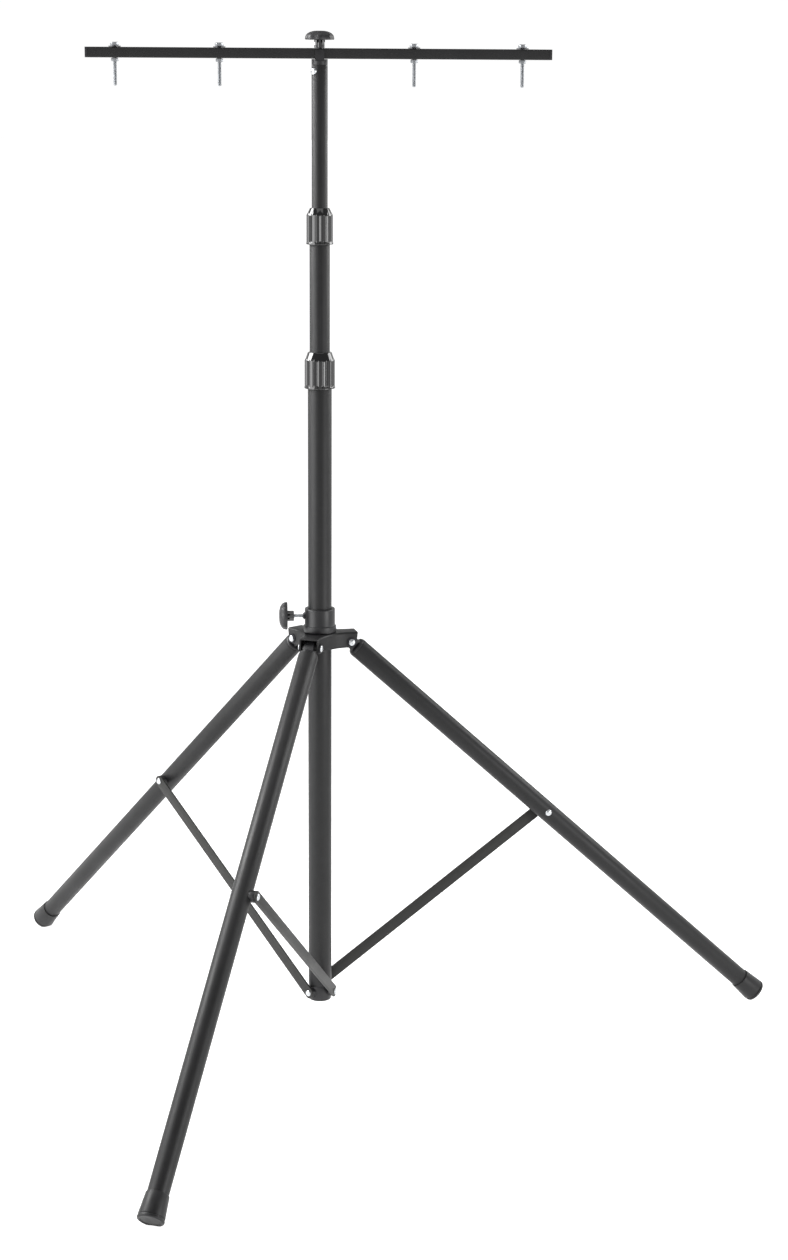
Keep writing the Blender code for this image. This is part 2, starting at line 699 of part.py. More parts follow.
def top_pieces(body):
    radius = TOP_TUBE_D / 2
    spigot = radius - TUBE_WALL - GAP
    top_tube = tube("top_tube", radius, TUBE_WALL, TOP_TUBE_BOTTOM, TOP_TUBE_TOP)
    place(top_tube, body, black_tube("top_tube_steel"))
    profile = [
        (0, SADDLE_TOP),
        (radius - 0.8 * MM, SADDLE_TOP),
        (radius, SADDLE_TOP - 0.8 * MM),
        (radius, TOP_TUBE_TOP + GAP),
        (spigot, TOP_TUBE_TOP + GAP),
        (spigot, TOP_TUBE_TOP - SADDLE_SPIGOT + 1 * MM),
        (spigot - 1 * MM, TOP_TUBE_TOP - SADDLE_SPIGOT),
        (0, TOP_TUBE_TOP - SADDLE_SPIGOT),
    ]
    saddle = place(turned("bar_saddle", profile), body, black_plastic("bar_saddle_plastic"))
    slot_floor = BAR_BOTTOM - GAP
    slot = box("saddle_slot", (60 * MM, BAR_SIZE + 2 * GAP, 40 * MM), (0, 0, slot_floor + 20 * MM))
    cut(saddle, place(slot, body))
    thread_end = BAR_BOTTOM - 12 * MM
    cut(saddle, place(cylinder("saddle_thread", RIVET_HOLE_R, thread_end - 1 * MM, SADDLE_TOP + GAP), body))

    screw = frame("saddle_screw_axis", (0, 0, SADDLE_SCREW_Z), radial(SADDLE_SCREW_ANGLE), (0, 0, 1))
    shank_r = 2.4 * MM
    inner_end = 5 * MM
    shank = [(0, radius + 1.5 * MM), (shank_r, radius + 1.5 * MM), (shank_r, inner_end), (0, inner_end)]
    saddle_screw = turned("saddle_screw", shank, steps=SMALL_STEPS)
    place(saddle_screw, screw, zinc("saddle_screw_zinc"))
    head = saddle_head("saddle_screw_head", 5.8 * MM, radius + 0.8 * MM, 1)
    skin = cylinder("top_tube_skin", radius + GAP, SADDLE_SCREW_Z - 12 * MM, SADDLE_SCREW_Z + 12 * MM,
                    2 * ROUND_STEPS)
    cut(place(head, screw), place(skin, body))
    join(saddle_screw, head)
    through = place(cylinder("saddle_screw_hole", shank_r + GAP, inner_end - GAP, 20 * MM), screw)
    cut(top_tube, through)
    cut(saddle, through)

    bar_middle = BAR_BOTTOM + BAR_SIZE / 2
    lengthwise = frame("bar_axis", (0, 0, bar_middle), (1, 0, 0), (0, 0, 1))
    outlines = [
        rounded_square(BAR_SIZE, BAR_CORNER),
        rounded_square(BAR_SIZE - 2 * BAR_WALL, BAR_CORNER - BAR_WALL + 0.4 * MM),
    ]
    bar = as_mesh(plate("lamp_bar", outlines, BAR_LENGTH - 2 * BAR_CAP - 2 * GAP))
    place(bar, lengthwise, black_tube("lamp_bar_steel"))
    for number, x in enumerate((0, *LAMP_BOLT_X)):
        drill = cylinder(f"bar_hole_{number}", LAMP_BOLT_R + GAP, BAR_BOTTOM - 5 * MM, BAR_BOTTOM + 25 * MM)
        cut(bar, place(drill, body, at=(x, 0, 0)))
    for name, side in (("left", -1), ("right", 1)):
        cap = as_mesh(plate(f"bar_cap_{name}", [rounded_square(BAR_SIZE, BAR_CORNER)], BAR_CAP))
        outer = side * (BAR_LENGTH - BAR_CAP) / 2
        place(cap, lengthwise, black_plastic(f"bar_cap_{name}_plastic"), (0, 0, outer))
        inner = BAR_SIZE - 2 * BAR_WALL - 2 * GAP
        tenon = box(f"cap_tenon_{name}", (inner, inner, 12 * MM))
        inward = side * (BAR_LENGTH / 2 - BAR_CAP - 5 * MM)
        join(cap, place(tenon, lengthwise, at=(0, 0, inward)))

    boss = 12.4 * MM
    knob_back = BAR_BOTTOM + BAR_SIZE + GAP + boss
    turning = frame("top_knob_axis", (0, 0, knob_back))
    knob("top_knob", boss, turning)
    stud("top_knob_stud", thread_end - knob_back, 4.7 * MM, turning)


def hexagon(flats):
    return arc((0, 0), flats / math.sqrt(3), 40, 400, 7)[:-1]


def lamp_bolts():
    """Four bolts through the bar: a washer under each head, a nut under the bar, the thread hanging down."""
    top = BAR_BOTTOM + BAR_SIZE
    under_head = top + GAP + LAMP_WASHER_H + GAP
    crown = under_head + LAMP_HEAD_H
    end = BAR_BOTTOM - LAMP_BOLT_DROP
    chamfer = 0.8 * MM
    shank = [
        (0, under_head + 1 * MM),
        (LAMP_BOLT_R, under_head + 1 * MM),
        (LAMP_BOLT_R, end + chamfer),
        (LAMP_BOLT_R - chamfer, end),
        (0, end),
    ]
    chamfer_ring = [(12 * MM, crown + 1 * MM), (12 * MM, crown - 3.6 * MM), (4 * MM, crown + 1 * MM)]
    nut_middle = BAR_BOTTOM - GAP - LAMP_NUT_H / 2
    bore_r = LAMP_BOLT_R + GAP
    for number, x in enumerate(LAMP_BOLT_X, 1):
        axis = frame(f"lamp_bolt_axis_{number}", (x, 0, 0))
        washer = ring_at(f"lamp_washer_{number}", LAMP_WASHER_R, bore_r, top + GAP, under_head - GAP)
        place(washer, axis, black_tube(f"lamp_washer_{number}_steel"))
        bolt = as_mesh(plate(f"lamp_bolt_{number}", [hexagon(LAMP_HEAD_FLATS)], LAMP_HEAD_H))
        place(bolt, axis, zinc(f"lamp_bolt_{number}_zinc"), (0, 0, under_head + LAMP_HEAD_H / 2))
        join(bolt, place(turned(f"bolt_shank_{number}", shank, steps=SMALL_STEPS), axis))
        cut(bolt, place(turned(f"bolt_chamfer_{number}", chamfer_ring, True, 16), axis))
        outlines = [hexagon(LAMP_NUT_FLATS), circle((0, 0), bore_r)]
        nut = as_mesh(plate(f"lamp_nut_{number}", outlines, LAMP_NUT_H))
        place(nut, axis, zinc(f"lamp_nut_{number}_zinc"), (0, 0, nut_middle))


clear_scene()
parts = collection(PARTS_NAME)
cutters = collection(CUTTERS_NAME)

column = frame("column_axis")
column_pieces(column)
lower_lock = frame("lower_lock_axis", (0, 0, LOWER_LOCK_Z))
lock_pieces("lower", column, lower_lock, LOWER_TUBE_D, MID_TUBE_D, LOWER_LOCK_Z, 45 * MM, 12 * MM, 24 * MM,
            20, LOWER_TUBE_TOP)

hub_body = frame("hub_axis")
hub_pieces(hub_body)
hub_rivets()
for count, leg_angle in enumerate(LEG_ANGLES, 1):
    leg_pieces(count, leg_angle)

mid_body = frame("mid_tube_axis")
mid_tube = tube("mid_tube", MID_TUBE_D / 2, TUBE_WALL, MID_TUBE_BOTTOM, MID_TUBE_TOP)
place(mid_tube, mid_body, black_tube("mid_tube_steel"))
guide_bush("mid_tube_guide", MID_TUBE_D, LOWER_TUBE_D, MID_TUBE_BOTTOM, mid_body)
upper_lock = frame("upper_lock_axis", (0, 0, UPPER_LOCK_Z))
lock_pieces("upper", mid_body, upper_lock, MID_TUBE_D, TOP_TUBE_D, UPPER_LOCK_Z, 46 * MM, 10 * MM, 20.8 * MM,
            18, MID_TUBE_TOP)

top_body = frame("top_tube_axis")
guide_bush("top_tube_guide", TOP_TUBE_D, MID_TUBE_D, TOP_TUBE_BOTTOM, top_body)
top_pieces(top_body)
lamp_bolts()
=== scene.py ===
# %% [markdown]
# # A telescopic lamp stand on a folding tripod
# The stand holds work lamps: three tubes slide in each other, twist grips lock them, and a
# sliding hub spreads three round legs that flat struts tie to the foot of the column. A
# measured model of it, with its joints, is loaded first and stays fixed. Every piece made
# below is shaped round that model, rides on its bodies and keeps its sizes, so nothing here
# has to be fitted by eye.

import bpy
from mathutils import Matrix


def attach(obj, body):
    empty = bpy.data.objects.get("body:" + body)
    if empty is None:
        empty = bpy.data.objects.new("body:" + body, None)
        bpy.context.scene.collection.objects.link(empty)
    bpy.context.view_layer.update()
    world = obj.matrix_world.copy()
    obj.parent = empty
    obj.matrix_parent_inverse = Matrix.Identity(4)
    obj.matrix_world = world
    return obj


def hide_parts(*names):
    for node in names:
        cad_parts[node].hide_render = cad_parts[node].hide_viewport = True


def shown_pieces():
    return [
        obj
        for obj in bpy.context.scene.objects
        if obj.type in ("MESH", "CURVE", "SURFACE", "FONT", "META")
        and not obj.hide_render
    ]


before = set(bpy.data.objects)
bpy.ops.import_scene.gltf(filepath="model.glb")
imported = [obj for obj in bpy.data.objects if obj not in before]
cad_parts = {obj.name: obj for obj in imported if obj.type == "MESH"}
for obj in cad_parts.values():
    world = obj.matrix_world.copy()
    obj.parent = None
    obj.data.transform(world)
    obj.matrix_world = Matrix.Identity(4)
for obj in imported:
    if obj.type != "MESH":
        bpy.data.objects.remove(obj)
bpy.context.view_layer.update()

# %% [markdown]
# ## The lengths of the fold
# Hub, legs and struts form folding triangles. Every place on them could be typed in, but a
# changed length would then have to be changed everywhere. Here the places are worked out
# from a few lengths: where a leg points and how far it spreads, where it turns on the hub,
# and where its strut meets the leg and the column's foot.

# %% Tools, units and driving lengths
import math

import bmesh
import bpy
from mathutils import Matrix, Vector

MM = 0.001
LEG_ANGLES = [math.radians(10.3 + 120 * leg) for leg in range(3)]
LEG_SPREAD = math.radians(47.7)
PIVOT_OUT = 49 * MM
PIVOT_UP = 608 * MM
LEG_LENGTH = 981 * MM
RIVET_DOWN_LEG = 458 * MM
STRUT_END_UP = 15 * MM
FLOOR_UP = -63.4 * MM
GAP = 0.3 * MM


def outward(angle):
    return Vector((math.cos(angle), math.sin(angle), 0))


def sideways(angle):
    return Vector((-math.sin(angle), math.cos(angle), 0))


def seat(origin, up, front):
    """The matrix that stands a piece made round Z on its place, with its X towards the front."""
    z = Vector(up).normalized()
    y = z.cross(Vector(front)).normalized()
    turn = Matrix((y.cross(z), y, z)).transposed().to_4x4()
    return Matrix.Translation(Vector(origin)) @ turn


print("legs point to", [round(math.degrees(angle), 1) for angle in LEG_ANGLES], "degrees")

# %% [markdown]
# ## Finishes
# Almost everything here is black, so the finishes have to differ in gloss and texture, not
# in colour: powder-coated steel tubes, glossy moulded twist grips, satin knobs and plugs,
# dull rubber feet, and bright zinc on rivets, nuts and bolts. Painted image textures would
# blur close up and need unwrapped pieces. Each finish is a small node tree on object
# coordinates instead, and every pattern gets its scale from a length in millimetres. One
# function adds a node with its settings and links.

# %% Colour and node helpers
def linear(code):
    """An sRGB hex colour as the linear numbers that a shader works with."""
    channels = [int(code[i:i + 2], 16) / 255 for i in (1, 3, 5)]
    return (*[c / 12.92 if c <= 0.04045 else ((c + 0.055) / 1.055) ** 2.4 for c in channels], 1)


def node(tree, kind, inputs=(), **settings):
    """Add a node: settings are its own properties, inputs are sockets to fill or to link."""
    made = tree.nodes.new(kind)
    for name, value in settings.items():
        setattr(made, name, value)
    for name, value in dict(inputs).items():
        if isinstance(value, bpy.types.NodeSocket):
            tree.links.new(value, made.inputs[name])
        else:
            made.inputs[name].default_value = value
    return made


def blank_finish(name, **sockets):
    """A new material: its tree, its shader with constants set, and object coordinates."""
    material = bpy.data.materials.new(name)
    material.use_nodes = True
    tree = material.node_tree
    shader = tree.nodes["Principled BSDF"]
    for socket, value in sockets.items():
        shader.inputs[socket.replace("_", " ")].default_value = value
    place = node(tree, "ShaderNodeTexCoord").outputs["Object"]
    return material, tree, shader, place


print("a mid grey of #808080 is", round(linear("#808080")[0], 3), "in linear light")


# %% Patterns that the finishes share
def grain(tree, place, size, detail=2.0, rough=0.5):
    """Noise whose blotches are about that long, in metres."""
    return node(tree, "ShaderNodeTexNoise", {
        "Vector": place, "Scale": 1 / size, "Detail": detail, "Roughness": rough,
    }).outputs["Fac"]


def spread(tree, value, low, high, start=0.3, end=0.7):
    """Noise between start and end as numbers between low and high."""
    return node(tree, "ShaderNodeMapRange", {
        "Value": value, "From Min": start, "From Max": end, "To Min": low, "To Max": high,
    }).outputs["Result"]


def blend_colours(tree, share, dark, light):
    return node(tree, "ShaderNodeMix", {0: share, 6: dark, 7: light}, data_type="RGBA").outputs[2]


def relief(tree, shader, height, depth, under=None):
    """Bump of that depth in metres on the shader, over another bump where one is given."""
    inputs = {"Height": height, "Distance": depth, "Strength": 1.0}
    if under is not None:
        inputs["Normal"] = under
    bump = node(tree, "ShaderNodeBump", inputs).outputs["Normal"]
    tree.links.new(bump, shader.inputs["Normal"])
    return bump


# %% [markdown]
# Powder coat is sprayed as dry powder and melted in an oven. It flows into a satin skin with
# a fine orange peel, so its highlights have soft, slightly ragged edges. The peel is about a
# millimetre across, a broad haze keeps the gloss of long tubes from looking drawn with a
# ruler, and a few specks of dust lie on it. Tubes that slide in and out also get faint
# hairlines along them. A picture of scratches would repeat on a tube this long, so they are
# the same noise, stretched along the tube.

# %% Powder-coated steel
def powder_coat(name, dark, light, gloss, rubbed=False):
    material, tree, shader, place = blank_finish(name, IOR=1.4)
    peel = grain(tree, place, 1.1 * MM)
    flow = grain(tree, place, 16 * MM, 3.0, 0.55)
    haze = grain(tree, place, 90 * MM)
    colour = blend_colours(tree, spread(tree, flow, 0, 1), linear(dark), linear(light))
    dust = spread(tree, grain(tree, place, 0.6 * MM, 0.0), 0, 0.06, 0.7, 0.8)
    colour = blend_colours(tree, dust, colour, linear("#8d8c88"))
    roughness = spread(tree, haze, gloss - 0.05, gloss + 0.05)
    bump = relief(tree, shader, peel, 0.012 * MM)
    if rubbed:
        along = node(tree, "ShaderNodeMapping", {"Vector": place, "Scale": (1, 1, 0.006)})
        hairs = grain(tree, along.outputs["Vector"], 0.9 * MM, 2.0)
        share = spread(tree, hairs, 0, 0.3, 0.62, 0.74)
        colour = blend_colours(tree, share, colour, linear("#4b4b4d"))
        relief(tree, shader, hairs, 0.006 * MM, under=bump)
    tree.links.new(colour, shader.inputs["Base Color"])
    tree.links.new(roughness, shader.inputs["Roughness"])
    return material


COAT = powder_coat("powder_coated_steel", "#0f0f10", "#141415", 0.48)
COAT_SLIDING = powder_coat("powder_coated_sliding_tube", "#0f0f10", "#141415", 0.46, rubbed=True)
# The struts wear the same powder coat as the tubes. Their lighter colour here is painted light,
# standing in for the light that their flat faces catch.
STRUT_COAT_PAINTED_LIGHT = powder_coat("powder_coat_painted_lighter_for_struts", "#191918", "#20201e", 0.5)
print("powder coats:", COAT.name, COAT_SLIDING.name, STRUT_COAT_PAINTED_LIGHT.name)

# %% [markdown]
# The twist grips are glass-smooth moulded nylon, the shiniest black on the stand: low
# roughness, and a faint sink-mark waviness that bends the long highlights. Knobs, plugs and
# the hub's sleeve come out of spark-eroded moulds, which leave a fine satin grain. Both are
# one recipe, a broad wave under a fine grain, with other sizes and depths.

# %% Moulded plastics
def moulded(name, dark, light, gloss, grain_size, grain_depth, wave_depth, ior=1.46):
    material, tree, shader, place = blank_finish(name, IOR=ior)
    skin = grain(tree, place, grain_size)
    sink = grain(tree, place, 7 * MM, 1.0)
    wipe = grain(tree, place, 28 * MM, 4.0, 0.6)
    colour = blend_colours(tree, spread(tree, wipe, 0, 1), linear(dark), linear(light))
    tree.links.new(colour, shader.inputs["Base Color"])
    tree.links.new(spread(tree, wipe, gloss - 0.04, gloss + 0.06), shader.inputs["Roughness"])
    waves = relief(tree, shader, sink, wave_depth)
    relief(tree, shader, skin, grain_depth, under=waves)
    return material


GRIP_NYLON = moulded(
    "glossy_moulded_nylon", "#060607", "#09090b", 0.08, 0.7 * MM, 0.001 * MM, 0.004 * MM, 1.7)
KNOB_NYLON = moulded(
    "satin_moulded_knob", "#1a1a1c", "#202022", 0.46, 0.6 * MM, 0.02 * MM, 0.01 * MM)
PLUG_NYLON = moulded(
    "satin_moulded_plug", "#151517", "#1b1b1d", 0.38, 0.5 * MM, 0.012 * MM, 0.01 * MM)
print("plastics:", GRIP_NYLON.name, KNOB_NYLON.name, PLUG_NYLON.name)

# %% [markdown]
# The feet are moulded rubber: dull, slightly grey, with a gritty skin and a little floor
# dust in the lowest centimetre. The dust could be a second material on the lowest faces, but
# it would end in a hard line, so it is blended in by height.

# %% Rubber
def foot_rubber(name, dark, light, dusty):
    material, tree, shader, place = blank_finish(name, IOR=1.42)
    grit = grain(tree, place, 0.8 * MM, 3.0, 0.65)
    cloud = grain(tree, place, 9 * MM, 3.0)
    height = node(tree, "ShaderNodeSeparateXYZ", {"Vector": place}).outputs["Z"]
    near_floor = spread(tree, height, 0.3, 0, FLOOR_UP, FLOOR_UP + 12 * MM)
    settled = node(
        tree, "ShaderNodeMath", {0: near_floor, 1: cloud}, operation="MULTIPLY").outputs[0]
    colour = blend_colours(tree, spread(tree, cloud, 0, 1), linear(dark), linear(light))
    colour = blend_colours(tree, settled, colour, linear(dusty))
    tree.links.new(colour, shader.inputs["Base Color"])
    tree.links.new(spread(tree, cloud, 0.36, 0.5), shader.inputs["Roughness"])
    relief(tree, shader, grit, 0.03 * MM)
    return material


RUBBER = foot_rubber("moulded_foot_rubber", "#111112", "#161617", "#3a3936")
print("rubber:", RUBBER.name)

# %% [markdown]
# Rivets, bolts and nuts are zinc-plated: a bright, faintly bluish metal whose plating is
# cloudy, a little duller in patches and never mirror clean. The lamp bolts and their nuts
# are handled most and have dulled to grey. Washers of the same steel are blackened in hot
# oil, which leaves a dark satin metal. An even metal would look like chrome, so colour and
# gloss change together with the same clouds.

# %% Plated and blackened steel
def plated(name, dark, light, low_gloss, high_gloss):
    material, tree, shader, place = blank_finish(name, Metallic=1.0)
    cloud = grain(tree, place, 3 * MM, 3.0, 0.6)
    tumble = grain(tree, place, 0.5 * MM, 1.0)
    colour = blend_colours(tree, spread(tree, cloud, 0, 1), linear(dark), linear(light))
    tree.links.new(colour, shader.inputs["Base Color"])
    tree.links.new(spread(tree, cloud, low_gloss, high_gloss), shader.inputs["Roughness"])
    relief(tree, shader, tumble, 0.006 * MM)
    return material


ZINC = plated("zinc_plated_steel", "#b4b7ba", "#d2d4d6", 0.2, 0.34)
DULL_ZINC = plated("dull_zinc_plated_steel", "#8b8e91", "#a1a3a6", 0.28, 0.42)
BLACK_STEEL = plated("oil_blackened_steel", "#2c2c2e", "#37373a", 0.36, 0.5)
print("metals:", ZINC.name, DULL_ZINC.name, BLACK_STEEL.name)

# %% [markdown]
# ## Ways of shaping
# Operators work on what is selected, in the mode that is open. So each shape starts with
# nothing selected, is opened for editing, and its points, edges or faces are then picked by
# where they are, as a hand would with the mouse.

# %% Opening, picking and extruding
def mm(*pairs):
    """A profile written in millimetres as (radius, height) rings in metres."""
    return [(radius * MM, height * MM) for radius, height in pairs]


def clear():
    bpy.ops.object.select_all(action="DESELECT")


def begin(name):
    """Name the primitive just added, put its place into its mesh and open it for editing."""
    piece = bpy.context.object
    piece.name = piece.data.name = name
    bpy.ops.object.transform_apply(location=True, rotation=True, scale=True)
    bpy.context.tool_settings.mesh_select_mode = (True, False, False)
    bpy.ops.object.mode_set(mode="EDIT")
    bpy.ops.mesh.select_all(action="SELECT")
    return piece


def block(name, middle, size, turn=0):
    """A box of that size, open for editing."""
    clear()
    bpy.ops.mesh.primitive_cube_add(
        size=1, location=middle, scale=size, rotation=(0, 0, math.radians(turn)))
    return begin(name)


def pick(piece, kind, test):
    """In edit mode, select only the points, edges or faces whose middle passes the test."""
    bpy.context.tool_settings.mesh_select_mode = [kind == k for k in ("VERT", "EDGE", "FACE")]
    bpy.ops.mesh.select_all(action="DESELECT")
    form = bmesh.from_edit_mesh(piece.data)
    items = {"VERT": form.verts, "EDGE": form.edges, "FACE": form.faces}[kind]
    for item in items:
        points = [item] if kind == "VERT" else item.verts
        if test(sum((point.co for point in points), Vector()) / len(points)):
            item.select_set(True)
    bmesh.update_edit_mesh(piece.data)


def extrude(x=0, y=0, z=0):
    bpy.ops.mesh.extrude_region_move(TRANSFORM_OT_translate={"value": (x, y, z)})


def scale(x, y, z):
    bpy.ops.transform.resize(value=(x, y, z), center_override=(0, 0, 0))


def face_outwards():
    """Turn all faces of the open mesh outwards and leave edit mode."""
    bpy.ops.mesh.select_all(action="SELECT")
    bpy.ops.mesh.normals_make_consistent(inside=False)
    bpy.ops.object.mode_set(mode="OBJECT")


# %% [markdown]
# Most pieces are round, so one way serves them all, and it is the way one would do it by
# hand: draw a circle, extrude it upwards and scale it, ring after ring, as if turning it on
# a lathe. A spun outline gives the same shape, but leaves its seam and poles to clean up.
# The last step closes the ends, or bridges them where the piece is a pipe.

# %% Turning round pieces
def close_up(ring=False):
    """Close the open rims of the open mesh, turn its faces outwards and leave edit mode."""
    bpy.context.tool_settings.mesh_select_mode = (True, False, False)
    bpy.ops.mesh.select_all(action="DESELECT")
    bpy.ops.mesh.select_non_manifold()
    if ring:
        bpy.ops.mesh.bridge_edge_loops()
    else:
        bpy.ops.mesh.fill_holes(sides=0)
    face_outwards()


def turned(name, rings, sides=48, ring=False):
    """A round piece: a circle at the first (radius, height), extruded and scaled to the rest."""
    clear()
    radius, height = rings[0]
    bpy.ops.mesh.primitive_circle_add(vertices=sides, radius=radius, location=(0, 0, height))
    piece = begin(name)
    for wider, higher in rings[1:]:
        extrude(z=higher - height)
        scale(wider / radius, wider / radius, 1)
        radius, height = wider, higher
    close_up(ring)
    return piece


# %% [markdown]
# Edges are eased with a small bevel, because no moulded or stamped edge is knife sharp and
# the rounding is what catches the light. A finished piece is smoothed, gets its finish,
# rides on the body that moves it and hides the plain solid that it stands for.

# %% Easing, cutting, copying and fitting
def use(piece, modifier):
    bpy.context.view_layer.objects.active = piece
    bpy.ops.object.modifier_apply(modifier=modifier.name)
    return piece


def eased(piece, width, segments=2, angle=30):
    """Round every edge that is sharper than the angle."""
    ease = piece.modifiers.new("ease", "BEVEL")
    ease.width = width
    ease.segments = segments
    ease.limit_method = "ANGLE"
    ease.angle_limit = math.radians(angle)
    return use(piece, ease)


def walled(piece, thickness, even=False):
    """Give a sheet its thickness, inwards."""
    wall = piece.modifiers.new("wall", "SOLIDIFY")
    wall.thickness = thickness
    wall.offset = -1
    wall.use_even_offset = even
    return use(piece, wall)


def carved(piece, cutter, operation="DIFFERENCE"):
    """Cut one shape with another, which is used up."""
    carve = piece.modifiers.new("carve", "BOOLEAN")
    carve.solver = "EXACT"
    carve.operation = operation
    carve.object = cutter
    use(piece, carve)
    bpy.data.objects.remove(cutter)


def merge(main, *others):
    """Join other meshes into the main one."""
    clear()
    for piece in (main, *others):
        piece.select_set(True)
    bpy.context.view_layer.objects.active = main
    bpy.ops.object.join()


def twin(piece, name, matrix):
    """A copy with a mesh of its own, put on its place."""
    made = piece.copy()
    made.data = piece.data.copy()
    made.name = made.data.name = name
    bpy.context.collection.objects.link(made)
    made.data.transform(matrix)
    return made


def drop(*patterns):
    for pattern in patterns:
        bpy.data.objects.remove(pattern)


def fit(piece, body, finish, *nodes, smooth=32):
    """Smooth and coat a piece, let it ride on its body and hide the solids it stands for."""
    clear()
    piece.select_set(True)
    bpy.context.view_layer.objects.active = piece
    bpy.ops.object.shade_smooth_by_angle(angle=math.radians(smooth))
    piece.data.materials.clear()
    piece.data.materials.append(finish)
    if nodes:
        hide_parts(*nodes)
    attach(piece, body)
    print(f"{piece.name}: {len(piece.data.polygons)} faces on {body}")


# %% [markdown]
# ## Tubes
# Three tubes make the column and three more the legs. Closed cylinders would look the same
# from outside. But each tube slides in the next, so each is turned as a real pipe with a
# 1.5 mm wall: four rings that are bridged, and a look into an open end shows the thickness.

# %% Column tubes
TUBE_WALL = 1.5 * MM


def pipe(name, diameter, bottom, top):
    outer = diameter / 2
    inner = outer - TUBE_WALL
    rings = [(outer, bottom), (outer, top), (inner, top), (inner, bottom)]
    return eased(turned(name, rings, 72, ring=True), 0.4 * MM)


for name, diameter, bottom, top, body, finish, solid in (
    ("lower_column_tube", 38, 25.3, 1060, "column", COAT, "lower_tube"),
    ("middle_column_tube", 32, 286, 1285, "mid_tube", COAT_SLIDING, "mid_tube"),
    ("upper_column_tube", 25, 518, 1518, "top_tube", COAT_SLIDING, "top_tube"),
):
    fit(pipe(name, diameter * MM, bottom * MM, top * MM), body, finish, solid)

# %% Leg tubes
LEG_SEATS = [
    seat(
        outward(angle) * PIVOT_OUT + Vector((0, 0, PIVOT_UP)),
        outward(angle) * math.sin(LEG_SPREAD) - Vector((0, 0, math.cos(LEG_SPREAD))),
        outward(angle) * math.cos(LEG_SPREAD) + Vector((0, 0, math.sin(LEG_SPREAD))),
    )
    for angle in LEG_ANGLES
]


def on_each_leg(pattern, finish, *nodes):
    """Copy a piece, made round Z with the pivot at zero, onto each leg, and drop the pattern."""
    for leg, place in enumerate(LEG_SEATS, 1):
        piece = twin(pattern, f"{pattern.name}_{leg}", place)
        fit(piece, f"leg_{leg}", finish, *[solid.format(leg) for solid in nodes])
    drop(pattern)


on_each_leg(pipe("leg_pipe", 32 * MM, 17.5 * MM, LEG_LENGTH - 6 * MM), COAT, "leg_{}_tube")

# %% [markdown]
# ## Twist grips
# A grip is a deep sleeve with a cone on top and broad flat ribs for the fingers, parted by
# narrow grooves. Grooves could be cut with a ring of blocks, but that leaves ragged faces
# where they run out. Instead the sleeve is turned as a pipe, with ten columns of points to
# each rib, and the columns are scaled in towards the axis: deep in the grooves, and a hair
# in the middle of a rib, which makes it flat, so that each rib throws back one clean strip
# of light. Close rings at both ends of the ribs keep the strips straight.

# %% Twist grips
RIB_DEPTHS = [0.15 * MM, 0.12 * MM, 0.05 * MM, 0, 0.55 * MM, 0.8 * MM]


def press_in(piece, sides, depths, radius, low, high):
    """Press columns of points towards the axis, as deep as listed from mid rib to mid groove."""
    columns = 2 * len(depths) - 2
    bpy.context.view_layer.objects.active = piece
    bpy.ops.object.mode_set(mode="EDIT")
    for column, depth in enumerate(depths):
        def on_column(point):
            step = round(math.atan2(point.y, point.x) / math.tau * sides) % columns
            outside = math.hypot(point.x, point.y) > 0.9 * radius
            mirrored = (columns - column) % columns
            return outside and low < point.z < high and step in (column, mirrored)

        pick(piece, "VERT", on_column)
        shrink = 1 - depth / radius
        scale(shrink, shrink, 1)
    bpy.ops.object.mode_set(mode="OBJECT")


def twist_grip(name, body, solid, base, outer, throat, barrel, cone, count):
    height = barrel + cone
    bore = outer - 1.7 * MM
    sides = count * 10
    sleeve = turned(name, [
        (throat, height - 0.6 * MM),
        (throat + 0.6 * MM, height),
        (throat + 2.2 * MM, height),
        (throat + 2.8 * MM, height - 0.7 * MM),
        (outer - 1.9 * MM, barrel + 2.6 * MM),
        (outer - 0.7 * MM, barrel + 0.7 * MM),
        (outer, barrel - 1.2 * MM),
        (outer, barrel - 2.2 * MM),
        (outer, barrel - 3.4 * MM),
        (outer, 6.4 * MM),
        (outer, 5 * MM),
        (outer, 3.4 * MM),
        (outer + 0.6 * MM, 1.9 * MM),
        (outer + 0.7 * MM, 0.5 * MM),
        (outer + 0.3 * MM, 0),
        (bore, 0),
        (bore, barrel - 3.5 * MM),
        (throat, height - 3.5 * MM),
    ], sides, ring=True)
    press_in(sleeve, sides, RIB_DEPTHS, outer, 4 * MM, barrel)
    run_out = [0.6 * depth for depth in RIB_DEPTHS]
    press_in(sleeve, sides, run_out, outer, barrel, barrel + 2 * MM)
    sleeve.data.transform(Matrix.Translation((0, 0, base)))
    fit(sleeve, body, GRIP_NYLON, solid)


twist_grip("lower_twist_grip", "lower_lock", "lower_lock_sleeve", base=1019 * MM,
           outer=24 * MM, throat=16.4 * MM, barrel=45 * MM, cone=12 * MM, count=20)
twist_grip("upper_twist_grip", "upper_lock", "upper_lock_sleeve", base=1244.5 * MM,
           outer=20.8 * MM, throat=12.9 * MM, barrel=46 * MM, cone=10 * MM, count=18)

# %% [markdown]
# ## The hub
# The spider is one stamping: a flat star with three arms whose rims are folded down over a
# press block. Its wall runs straight along an arm, sweeps through a wide hollow and comes
# out along the next arm. Blocks joined with Booleans would lose that sweep. So it is drawn
# as it is folded: a quarter circle for the fold, with the wall extruded down from it, is
# extruded along the arm, spun round the hollow's centre and extruded again. Three copies
# meet, and the top is filled round the hole for the column.

# %% Folded walls of the spider
SPIDER_TOP = 624.5 * MM
FOLD = 3.5 * MM
ARM_HALF = 16 * MM
ARM_LENGTH = 59.5 * MM
HOLLOW_AT = Vector((46.65 * MM, 80.8 * MM, 0))
WALL_STEPS = (4, 4, 4.5, 4.5, 4.5)
TINY = 0.01 * MM


